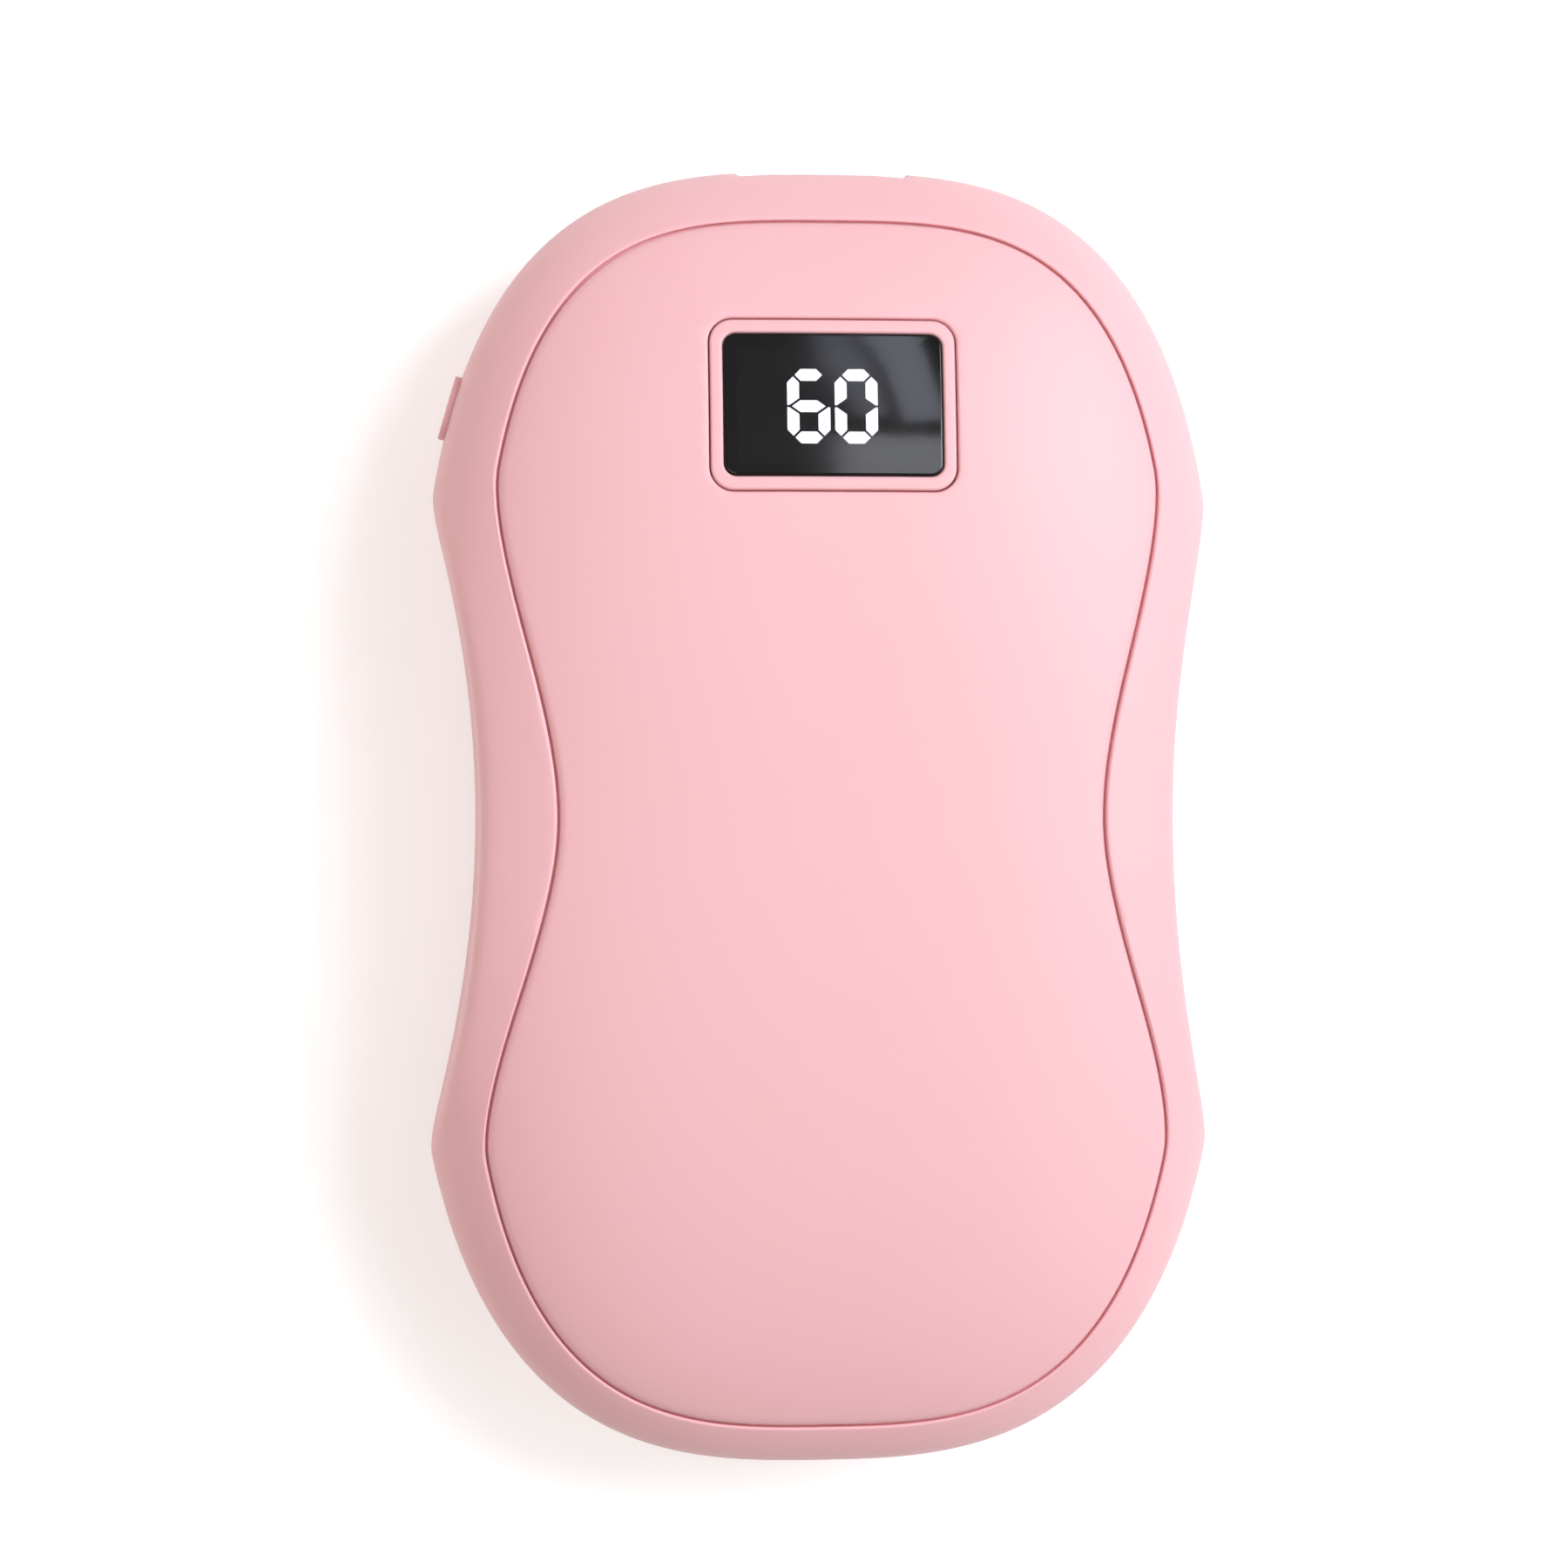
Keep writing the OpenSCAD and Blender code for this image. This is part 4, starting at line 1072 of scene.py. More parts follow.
FINISHES: dict[Slot, Finish] = {
    # Soft-touch paint sprayed on moulded ABS: satin, with a broad soft highlight and no glitter
    Slot.SHELL: Grained("soft_touch_pink_casing", "#F6BCC1", 0.47, tone="#F7BFC5", depth=0.004),
    # The same paint on the covers, so that casing and covers read as one body
    Slot.COVER: Grained("soft_touch_pink_cover", "#F6BCC1", 0.47, tone="#F7BFC5", depth=0.004),
    # Cast acrylic dyed smoke: near black, its reflections softened a little by a hard coat
    Slot.WINDOW: PrintedAcrylic("smoked_acrylic", "#48484A", 0.07, ior=1.49),
    # Glass-filled nylon, moulded dull: black with no highlight, so that only the digits show
    Slot.MODULE: Grained("matt_black_nylon", "#101012", 0.6, ior=1.53, grain=0.2),
    # Milky polycarbonate over a lamp: even white light to its edges
    Slot.LIT: Glowing("lit_diffuser", "#FFFFFF", 0.4),
    # The same diffuser with no lamp on: a dark bar that hardly shows
    Slot.UNLIT: Grained("dark_diffuser", "#1C1C20", 0.4, grain=0.2),
    # Stamped steel with bright nickel: fine lines from the strip mill
    Slot.SOCKET: Metal("nickel_plated_steel", "#C9C8C4", 0.24),
    # Drawn acrylic rod left dull at its end: milky, so that its lamp spreads
    Slot.LIGHT: Acrylic("frosted_acrylic", "#E4E7EA", 0.35, ior=1.49, clear=0.25),
    # Liquid-crystal polymer, moulded: dull black, which sets the gold off
    Slot.TONGUE: Grained("black_lcp_moulding", "#17171A", 0.5, ior=1.6, grain=0.15),
    # Hard gold flashed over nickel: warm and smooth
    Slot.CONTACT: Metal("gold_flash", "#E3BC62", 0.2, line=0.08),
    # Glass-fibre epoxy under green lacquer: glossy, with paler tracks standing up
    Slot.BOARD: SolderMask("green_solder_mask", "#1B5A3A", 0.3),
    # The same board under blue lacquer
    Slot.CELL_BOARD: SolderMask("blue_solder_mask", "#1C4A72", 0.3, track="#2F6A96"),
    # Filled epoxy, transfer moulded: dark grey and dull, with a fine even grain
    Slot.CHIP: Grained("black_epoxy_package", "#1A1A1C", 0.55, grain=0.12),
    # Barium titanate, pressed and fired: tan, a little uneven in tone
    Slot.CAPACITOR: Grained("fired_ceramic", "#A98456", 0.45, tone="#9C774B", grain=0.1),
    # Undyed nylon, moulded: cream, slightly waxy
    Slot.CONNECTOR: Grained("natural_nylon", "#EAE6D8", 0.45, tone="#E4DFCF", grain=0.25),
    # Aluminium laminate drawn over the cell: bright, softly rumpled
    Slot.POUCH: Metal("pouch_laminate", "#B9BDC2", 0.32, stretch=(1, 1, 1), line=5, depth=0.12),
    # Aluminium sheet as rolled: pale, with lines along the sheet
    Slot.SPREADER: Metal("rolled_aluminium", "#D5D7DA", 0.35),
    # Polyimide film with etched foil: clear amber over darker bands
    Slot.FILM: EtchedFilm("polyimide_film", "#C98A2E", 0.28, ior=1.7),
    # Polyethylene foam, cut from a block: grey and dull, pitted all over, with painted shade in
    # each pit
    Slot.FOAM: Foam("closed_cell_foam", "#5B5E63", 0.85),
    # Acrylic foam tape, cut to a ring: off-white and dull
    Slot.TAPE: Grained("acrylic_foam_tape", "#E6DFD2", 0.6, grain=0.4),
    # Silicone rubber, extruded over the wire: soft satin red
    Slot.WIRE_RED: Grained("red_silicone_sleeve", "#B3202A", 0.5, ior=1.41),
    # Silicone rubber, extruded over the wire: soft satin black
    Slot.WIRE_BLACK: Grained("black_silicone_sleeve", "#17171A", 0.5, ior=1.41),
    # Copper wire dipped in tin: bright, with fine drawing lines
    Slot.WIRE_TINNED: Metal("tinned_copper", "#CFCFCC", 0.3, line=0.1),
    # Epoxy dropped on the sensor: shiny black, gently uneven
    Slot.SENSOR: Grained("black_epoxy_bead", "#161618", 0.3, grain=0.5),
    # Glass-filled nylon, moulded: dull black
    Slot.SWITCH: Grained("black_nylon_switch", "#1D1D20", 0.5, grain=0.2),
    # Nylon, moulded: light grey satin, which tells the moving part from its switch
    Slot.PLUNGER: Grained("grey_nylon_plunger", "#C7C8CB", 0.45, grain=0.2),
    # Zinc on steel: dull bright grey, clouded by the bath
    Slot.SCREW: Metal("zinc_plated_steel", "#A9ABAE", 0.36, stretch=(1, 1, 1), line=0.5),
}


@lru_cache(maxsize=None)
def material_of(slot: Slot) -> bpy.types.Material:
    """The one material that every piece of a slot shares."""
    return FINISHES[slot].material()


def settle(
    piece: bpy.types.Object, slot: Slot, body: Body = Body.HOUSING, nodes: Sequence[str] = ()
) -> bpy.types.Object:
    """Smooths and dresses a finished piece and ties it to the frame.

    Args:
        piece: The piece, in its place.
        slot: Material slot that it takes its finish from.
        body: Body that it rides on.
        nodes: CAD nodes that it stands for.

    Returns:
        The same piece.
    """
    pick(piece)
    bpy.ops.transform.translate(value=(0, 0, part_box("front_shell")[0].z))
    bpy.ops.object.transform_apply(location=True, rotation=True, scale=True)
    bpy.ops.object.shade_smooth_by_angle(angle=SMOOTH_ANGLE)
    piece.data.materials.clear()
    piece.data.materials.append(material_of(slot))
    for face in piece.data.polygons:
        face.material_index = 0
    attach(piece, body.value)
    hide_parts(*nodes)
    triangles = sum(len(face.vertices) - 2 for face in piece.data.polygons)
    LOG.info("%s rides on %s with %d triangles", piece.name, body.value, triangles)
    return piece


# Sub-assemblies


@dataclass
class Casing:
    """The two moulded halves of the casing, with a groove round each cover."""

    pebble: Pebble
    outline: CoverOutline
    groove: float = 0.22
    lip: float = 0.35
    floor: float = 0.9
    floor_gap: float = 0.02
    recess: float = 1.65
    ledge: float = 3.0
    reveal: float = 0.12
    reveal_depth: float = 0.35
    reveal_lip: float = 0.15
    reveal_steps: int = 3
    skin_rings: int = 46
    inner_rings: int = 9
    inner_ease: float = 1.5
    scoop_steps: int = 26
    crease_steps: int = 26
    lobe_steps: int = 44
    crease_reach: float = math.radians(5)
    boss_inset: float = 3.4
    boss_slack: float = 0.05
    boss_probes: int = 12
    screw_bearings: tuple[float, float] = (math.radians(40), math.radians(-46))
    post_bearing: float = math.radians(70)
    boss_d: float = 4.4
    step_d: float = 6.0
    post_d: float = 3.0
    board_low: float = -1.85
    bore_d: float = 1.72
    head_d: float = 3.4
    grip: float = 4.5
    seat: float = 4.0
    bearings: list[float] = field(init=False)

    def __post_init__(self) -> None:
        """Lists the bearings of the skin, closer together beside each crease."""
        marks: list[float] = []
        top, low = self.pebble.crease(1), self.pebble.crease(-1)
        steps = (self.scoop_steps, self.crease_steps, self.lobe_steps)
        quarters = ((0, top, False), (0.5, top, True), (0.5, low, False), (1, low, True))
        for start, crease, mirrored in quarters:
            knots = [0, crease - self.crease_reach, crease + self.crease_reach, math.pi / 2]
            parts = list(zip(knots, knots[1:], steps))
            if mirrored:
                for near, far, count in reversed(parts):
                    marks += span(start * TURN - far, start * TURN - near, count)
            else:
                for near, far, count in parts:
                    marks += span(start * TURN + near, start * TURN + far, count)
        self.bearings = marks

    def point(self, bearing: float, share: float, inset: float, height: float) -> Vector:
        """Point of the skin, moved in by an inset."""
        return lift(ray(bearing, self.pebble.skin(bearing, share, inset)), height)

    def parting_rings(self) -> list[Ring]:
        """Rings of the fine reveal along the parting line and its rounded lip.

        Returns:
            The rings, from the inside outwards.
        """
        body = self.pebble
        heights = (0, self.reveal)
        rings = [[self.point(a, 1, self.reveal_depth, h) for a in self.bearings] for h in heights]
        for inset, depth in reversed(fillet(self.reveal_lip, self.reveal_steps)[1:]):
            height = self.reveal + inset
            share = body.share_at(height, body.crown)
            reaches = [body.skin(a, share, 0) - depth for a in self.bearings]
            rings.append([lift(ray(a, r), height) for a, r in zip(self.bearings, reaches)])
        return rings

    def skin_ring(self, t: float) -> Ring:
        """Ring of the skin, from the parting line at 0 to the lip of the groove at 1.

        Args:
            t: Share of the way along the section.

        Returns:
            The ring.
        """
        body, ring = self.pebble, []
        power = body.section_power
        low = self.reveal + self.reveal_lip
        start = math.asin(low ** (power / 2) / body.crown ** (power / 2))
        for a in self.bearings:
            top = body.dome(self.outline.edge(a, self.groove / 2 + self.lip))
            stop = math.asin((top / body.crown) ** (power / 2))
            turn = start + (stop - start) * t
            share = math.cos(turn) ** (2 / power)
            ring.append(self.point(a, share, 0, body.crown * math.sin(turn) ** (2 / power)))
        return ring

    def edge_ring(self, out: float, drop: float) -> Ring:
        """Ring along the cover's outline, a depth under the dome."""
        spots = [self.outline.edge(a, out) for a in self.bearings]
        return [lift(s, self.pebble.dome(s) - drop) for s in spots]

    def inner_ring(self, t: float) -> Ring:
        """Ring of the inside, from the parting line at 0 to the ledge at 1.

        Args:
            t: Share of the way along the section.

        Returns:
            The ring.
        """
        body, ring = self.pebble, []
        top = body.crown - body.rim_depth
        for a in self.bearings:
            far = math.hypot(*self.outline.edge(a, 0)) / (body.lobe(a) - body.wall)
            share = 1 - (1 - far) * t**self.inner_ease
            ring.append(self.point(a, share, body.wall, body.rise(share, top)))
        return ring

    def blank(self, name: str, side: Side) -> bpy.types.Object:
        """One half of the pebble, before its openings are cut.

        Args:
            name: Name of the new piece.
            side: Which half.

        Returns:
            The closed half.
        """
        body = self.pebble
        rings = self.parting_rings()
        rings += [self.skin_ring(i / self.skin_rings) for i in range(self.skin_rings + 1)]
        half = self.groove / 2
        rings += [self.edge_ring(half + inset, depth) for inset, depth in fillet(self.lip)[1:]]
        inner = self.floor_gap - half
        rings += [self.edge_ring(out, self.floor) for out in (half, inner)]
        rings += [self.edge_ring(out, self.recess) for out in (inner, -self.ledge)]
        under = [self.outline.edge(a, -self.ledge) for a in self.bearings]
        rings.append([lift(s, body.inner_dome(s)) for s in under])
        rings += [self.inner_ring(i / self.inner_rings) for i in range(self.inner_rings, -1, -1)]
        rings.append(rings[0])
        return loft(name, flipped(rings, side), Ends.JOINED)

    def screw_spots(self) -> list[Spot]:
        """Axes of the four screws, the upper pair first."""
        spots = [self.outline.edge(a, -self.boss_inset) for a in self.screw_bearings]
        return [(way * spot[0], spot[1]) for spot in spots for way in (1, -1)]

    def boss_top(self, spot: Spot) -> float:
        """Height of a boss, just under the ledge that carries the cover.

        Args:
            spot: Its axis.

        Returns:
            The height over the parting line.
        """
        round_it = [ray(turn, self.step_d / 2) for turn in span(0, TURN, self.boss_probes)]
        heights = [self.pebble.dome((spot[0] + x, spot[1] + y)) for x, y in round_it]
        return min(heights) - self.recess - self.boss_slack

    def bosses(self, side: Side) -> list[bpy.types.Object]:
        """Screw bosses of a half and, in the back half, the rests of the board.

        Args:
            side: Which half.

        Returns:
            The bosses, each a piece of its own.
        """
        spots = self.screw_spots()
        tops = {spot: self.boss_top(spot) for spot in spots}
        if side is Side.FRONT:
            return [rod(spot, self.boss_d, 0, tops[spot]) for spot in spots]
        rests = [rod(spot, self.step_d, -tops[spot], self.board_low) for spot in spots[:2]]
        post = self.outline.edge(self.post_bearing, -self.boss_inset + self.lip)
        top = self.boss_top(post)
        feet = [(way * post[0], post[1]) for way in (1, -1)]
        posts = [rod(foot, self.post_d, -top, self.board_low) for foot in feet]
        return [rod(spot, self.boss_d, -tops[spot], 0) for spot in spots] + rests + posts

    def bores(self, side: Side) -> list[bpy.types.Object]:
        """Holes for the screws and, in the back half, the seats of their heads.

        Args:
            side: Which half.

        Returns:
            The tools that cut them.
        """
        spots = self.screw_spots()
        if side is Side.FRONT:
            return [rod(spot, self.bore_d, -OVERRUN, self.grip + OVERRUN) for spot in spots]
        shanks = [rod(spot, self.bore_d, -self.seat - OVERRUN, OVERRUN) for spot in spots]
        return shanks + [rod(spot, self.head_d, -self.pebble.crown, -self.seat) for spot in spots]

    def drill(self, piece: bpy.types.Object, holes: Sequence[bpy.types.Object]) -> None:
        """Cuts several holes away from a half of the casing."""
        for hole in holes:
            combine(piece, hole, Cut.AWAY)

    def build(self, side: Side, cutters: Sequence[Cutter]) -> bpy.types.Object:
        """Models one half of the casing with its openings and its screw bosses.

        Args:
            side: Which half.
            cutters: Functions that model a tool to cut each opening.

        Returns:
            The finished half.
        """
        name, node = {
            Side.FRONT: ("front_casing", "front_shell"),
            Side.BACK: ("back_casing", "back_shell"),
        }[side]
        piece = self.blank(name, side)
        for boss in self.bosses(side):
            combine(piece, boss, Cut.ADDED)
        self.drill(piece, self.bores(side))
        self.drill(piece, [cutter() for cutter in cutters])
        return settle(piece, Slot.SHELL, nodes=[node])


@dataclass(frozen=True)
class Seat:
    """A place on the body: its own axes, and the height of the surface over them."""

    origin: Vector
    across: Vector
    along: Vector
    outward: Vector
    surface: Callable[[float, float], float]

    def at(self, u: float, v: float, height: float) -> Vector:
        """Point of the seat's own axes, in the axes of the body."""
        return self.origin + u * self.across + v * self.along + height * self.outward

    def ring(self, outline: Sequence[Spot], depth: float) -> Ring:
        """Ring that follows the body's surface at a depth."""
        return [self.at(u, v, self.surface(u, v) - depth) for u, v in outline]

    def flat(self, outline: Sequence[Spot], height: float) -> Ring:
        """Ring at one height of the seat's own axes."""
        return [self.at(u, v, height) for u, v in outline]

    def face(self, outline: Sequence[Spot], depth: float, steps: Sequence[float]) -> list[Ring]:
        """Rings that close a face towards its middle."""
        return [self.ring([(u * s, v * s) for u, v in outline], depth) for s in steps]


def flared_tool(
    name: str, seat: Seat, outline: Outline, low: float, lip: float
) -> bpy.types.Object:
    """Tool that cuts a hole with a rounded lip.

    Args:
        name: Name of the tool.
        seat: Place that the hole is cut at.
        outline: Gives the outline of the hole, grown by a length.
        low: Height of the hole's far end in the seat's axes.
        lip: Radius of the lip.

    Returns:
        The tool. Its lip turns off the surface before it runs level with it.
    """
    rings = [seat.flat(outline(0), low), seat.ring(outline(0), lip)]
    turns = [math.radians(FLARE_STEP * i) for i in range(1, FLARE_STEPS + 1)]
    for t in turns:
        rings.append(seat.ring(outline(lip * (1 - math.cos(t))), lip * (1 - math.sin(t))))
    last = turns[-1]
    grow = lip * (1 - math.cos(last)) + FLARE_REACH * math.sin(last)
    depth = lip * (1 - math.sin(last)) - FLARE_REACH * math.cos(last)
    rings.append(seat.ring(outline(grow), depth))
    rings.append(seat.ring(outline(grow), -TOOL_RISE))
    return loft(name, rings, Ends.FILLED)


@dataclass
class Covers:
    """The two domed heating covers. The back one is flattened where the body rests."""

    casing: Casing
    edge: float = -0.11
    edge_round: float = 0.65
    edge_steps: int = 8
    edge_drop_share: float = 0.55
    thickness: float = 1.4
    rest_bend: float = 0.3
    face_rings: int = 34
    under_rings: int = 8
    near_edge: float = 0.99
    pole: float = 0.008

    def face_height(self, spot: Spot, side: Side) -> float:
        """Height of the face over the parting line, with the rest of the back flattened.

        Args:
            spot: Point of the plan.
            side: Which half.

        Returns:
            The height.
        """
        height = self.casing.pebble.dome(spot)
        if side is Side.FRONT:
            return height
        return soft_min(height, self.casing.pebble.mid_z, self.rest_bend)

    def ring(self, side: Side, share: float, out: float, drop: float) -> Ring:
        """Ring along the cover's outline, drawn in to a share and sunk by a drop.

        Args:
            side: Which half.
            share: How far it is drawn in to the middle.
            out: How far it is moved out first.
            drop: How far it is sunk under the face.

        Returns:
            The ring.
        """
        spots = [self.casing.outline.edge(a, out) for a in self.casing.bearings]
        spots = [(share * x, share * y) for x, y in spots]
        return [lift(s, self.face_height(s, side) - drop) for s in spots]

    def blank(self, name: str, side: Side) -> bpy.types.Object:
        """A whole cover, before the display's hole is cut.

        Args:
            name: Name of the new piece.
            side: Which half.

        Returns:
            The closed cover.
        """
        under = [*reversed(shares(self.under_rings)), 1]
        rings = [self.ring(Side.FRONT, s, self.edge, self.thickness) for s in under]
        for inset, depth in reversed(fillet(self.edge_round, self.edge_steps)):
            rings.append(self.ring(side, 1, self.edge - inset, depth * self.edge_drop_share))
        inner = self.edge - self.edge_round
        steps = [self.near_edge] + shares(self.face_rings, self.pole)
        rings += [self.ring(side, s, inner, 0) for s in steps]
        return loft(name, flipped(rings, side), Ends.FILLED)

    def build(self, side: Side, cutters: Sequence[Cutter]) -> bpy.types.Object:
        """Models one cover with its openings.

        Args:
            side: Which half.
            cutters: Functions that model a tool to cut each opening.

        Returns:
            The finished cover.
        """
        name, node = {
            Side.FRONT: ("front_heat_cover", "front_cover"),
            Side.BACK: ("back_heat_cover", "back_cover"),
        }[side]
        piece = self.blank(name, side)
        for cutter in cutters:
            combine(piece, cutter(), Cut.AWAY)
        return settle(piece, Slot.COVER, nodes=[node])


@dataclass
class Display:
    """Bezel and smoked window, laid on the dome and tilted with it."""

    pebble: Pebble
    end_gap: float = 21.15
    bezel: Spot = (21.4, 15.0)
    bezel_round: float = 2.0
    groove: float = 0.15
    window: Spot = (19.0, 12.4)
    window_round: float = 1.05
    play: float = 0.1
    module: Spot = (17.1, 10.5)
    skirt: Spot = (19.2, 12.6)
    flange: float = 1.2
    flange_top: float = -2.2
    flange_low: float = -3.0
    skirt_low: float = -4.0
    window_low: float = -1.4
    window_gap: float = 0.03
    window_sink: float = 0.05
    outer_lip: float = 0.2
    inner_lip: float = 0.3
    window_lip: float = 0.12
    hole_lip: float = 0.25
    hole_low: float = -5.0
    lip_steps: int = 5
    near_edge: Spot = (0.995, 0.985)
    face_rings: int = 14
    pole: float = 0.01
    settlings: int = 4

    def seat(self) -> Seat:
        """The display's place: the middle of the bezel, tilted as the dome falls.

        Returns:
            The seat, whose surface is the dome.
        """
        middle = self.pebble.half_len - self.end_gap
        reach = self.window[1] / 2
        fall = self.pebble.dome((0, middle - reach)) - self.pebble.dome((0, middle + reach))
        tilt = math.atan(fall / self.window[1])
        along = Vector((0, math.cos(tilt), -math.sin(tilt)))
        outward = Vector((0, math.sin(tilt), math.cos(tilt)))
        origin = Vector((0, middle, self.pebble.dome((0, middle))))

        def surface(u: float, v: float) -> float:
            """Finds the height of the dome over the seat by stepping to it.

            Args:
                u: Place along the seat's width.
                v: Place along the seat's length.

            Returns:
                The height, square to the seat.
            """
            height = 0.0
            for _ in range(self.settlings):
                point = origin + Vector((u, 0, 0)) + v * along + height * outward
                height += (self.pebble.dome((point.x, point.y)) - point.z) * outward.z
            return height

        return Seat(origin, Vector((1, 0, 0)), along, outward, surface)

    def hole_tool(self) -> bpy.types.Object:
        """Tool that opens the front cover for the bezel.

        Returns:
            The tool.
        """
        width, length = (side + 2 * self.groove for side in self.bezel)
        corner = self.bezel_round + self.groove
        return flared_tool(
            "display_hole",
            self.seat(),
            lambda grow: grown_rect(width, length, corner, grow),
            self.hole_low,
            self.hole_lip,
        )

    def build_bezel(self) -> bpy.types.Object:
        """Models the bezel with the flange and the skirt under it.

        Returns:
            The finished bezel.
        """
        seat = self.seat()

        def outer(grow: float) -> list[Spot]:
            """Outside of the bezel, grown by a length."""
            return grown_rect(*self.bezel, self.bezel_round, grow)

        def opening(grow: float) -> list[Spot]:
            """Hole for the window, grown by a length."""
            return grown_rect(*self.window, self.window_round, self.play + grow)

        flange = grown_rect(*self.bezel, self.bezel_round - self.flange, self.flange)
        skirt = rounded_rect(*self.skirt, self.window_round)
        module = rounded_rect(*self.module, self.play)
        rings = [seat.flat(flange, self.flange_low), seat.flat(flange, self.flange_top)]
        rings.append(seat.flat(outer(0), self.flange_top))
        for inset, depth in reversed(fillet(self.outer_lip, self.lip_steps)):
            rings.append(seat.ring(outer(-inset), depth))
        for inset, depth in fillet(self.inner_lip):
            rings.append(seat.ring(opening(inset), depth))
        rings.append(seat.flat(opening(0), self.window_low))
        rings += [seat.flat(module, self.window_low), seat.flat(module, self.skirt_low)]
        rings += [seat.flat(skirt, self.skirt_low), seat.flat(skirt, self.flange_low)]
        rings.append(rings[0])
        piece = loft("bezel", rings, Ends.JOINED)
        return settle(piece, Slot.COVER, nodes=["display_bezel"])

    def build_window(self) -> bpy.types.Object:
        """Models the window: flat underneath, and domed as the bezel round it.

        Returns:
            The finished window.
        """
        seat = self.seat()

        def outline(grow: float) -> list[Spot]:
            """Outside of the window, grown by a length."""
            return grown_rect(*self.window, self.window_round, grow)

        rings = [seat.flat(outline(0), self.window_low + self.window_gap)]
        for inset, depth in reversed(fillet(self.window_lip, self.lip_steps)):
            rings.append(seat.ring(outline(-inset), depth + self.window_sink))
        steps = [*self.near_edge, *shares(self.face_rings, self.pole)]
        rings += seat.face(outline(-self.window_lip), self.window_sink, steps)
        piece = loft("window", rings, Ends.FILLED)
        return settle(piece, Slot.WINDOW, nodes=["display_window"])


@dataclass
class PowerButton:
    """Side button, which slides square to the wall, and its slot in both halves."""

    pebble: Pebble
    bearing: float = math.radians(132)
    length: float = 5.8
    height: float = 3.0
    proud: float = 0.5
    gap: float = 0.12
    flange: float = 0.7
    flange_t: float = 0.8
    flange_out: float = -2.15
    flange_square: float = 0.2
    face_round: float = 0.12
    face_steps: int = 8
    belly: float = 0.02
    slot_lip: float = 0.08
    pocket: Spot = (7.9, 4.4)
    pocket_span: Spot = (-2.95, -1.44)
    pocket_round: float = 0.2
    probe: float = math.radians(0.5)
    search: Spot = (-3.0, 1.0)

    def seat(self) -> Seat:
        """The button's place on the wall, looking square out of it.

        Returns:
            The seat, whose surface is the wall.
        """

        def wall(bearing: float) -> Vector:
            """Point of the wall on the parting line."""
            return lift(ray(bearing, self.pebble.skin(bearing, 1, 0)), 0)

        origin = wall(self.bearing)
        along = (wall(self.bearing + self.probe) - wall(self.bearing - self.probe)).normalized()
        outward = Vector((along.y, -along.x, 0))

        def surface(u: float, v: float) -> float:
            """Finds the height of the wall over the seat by halving.

            Args:
                u: Place along the wall.
                v: Height over the parting line, or under it.

            Returns:
                The height, square to the seat.
            """
            low, high = self.search
            for _ in range(HALVINGS):
                middle = (low + high) / 2
                point = origin + u * along + middle * outward
                share = self.pebble.share_at(v, self.pebble.crown)
                edge = self.pebble.skin(math.atan2(point.y, point.x), share, 0)
                inside = math.hypot(point.x, point.y) < edge
                low, high = (middle, high) if inside else (low, middle)
            return (low + high) / 2

        return Seat(origin, along, Vector((0, 0, 1)), outward, surface)

    def pill(self, grow: float) -> list[Spot]:
        """Outline of the button, grown by a length."""
        return grown_rect(self.length, self.height, self.height / 2 - ROUND_END, grow)

    def slot_tool(self) -> bpy.types.Object:
        """Tool that cuts the button's slot.

        Returns:
            The tool.
        """
        return flared_tool(
            "button_slot",
            self.seat(),
            lambda grow: self.pill(self.gap + grow),
            self.flange_out - self.flange_t,
            self.slot_lip,
        )

    def pocket_tool(self) -> bpy.types.Object:
        """Tool that cuts the pocket for the flange behind the slot.

        Returns:
            The tool.
        """
        seat = self.seat()
        box = rounded_rect(*self.pocket, self.pocket_round)
        return loft("button_pocket", [seat.flat(box, h) for h in self.pocket_span], Ends.FILLED)

    def build(self) -> bpy.types.Object:
        """Models the button with its flange and its softly domed face.

        Returns:
            The finished button.
        """
        seat = self.seat()
        flange_in = self.flange_out - self.flange_t
        corner = self.height / 2 - self.flange_square
        flange = grown_rect(self.length, self.height - 2 * self.gap, corner, self.flange)
        rings = [seat.flat(flange, flange_in), seat.flat(flange, self.flange_out)]
        rings.append(seat.flat(self.pill(0), self.flange_out))
        top = self.proud - self.belly
        for inset, depth in reversed(fillet(self.face_round, self.face_steps)):
            rings.append(seat.flat(self.pill(-inset), top - depth))
        face = self.pill(-self.face_round)
        for s in shares(self.face_steps):
            spots = [(u * s, v * s) for u, v in face]
            rings.append(seat.flat(spots, self.proud - self.belly * s**2))
        piece = loft("side_button", rings, Ends.FILLED)
        return settle(piece, Slot.COVER, Body.BUTTON, ["power_button"])


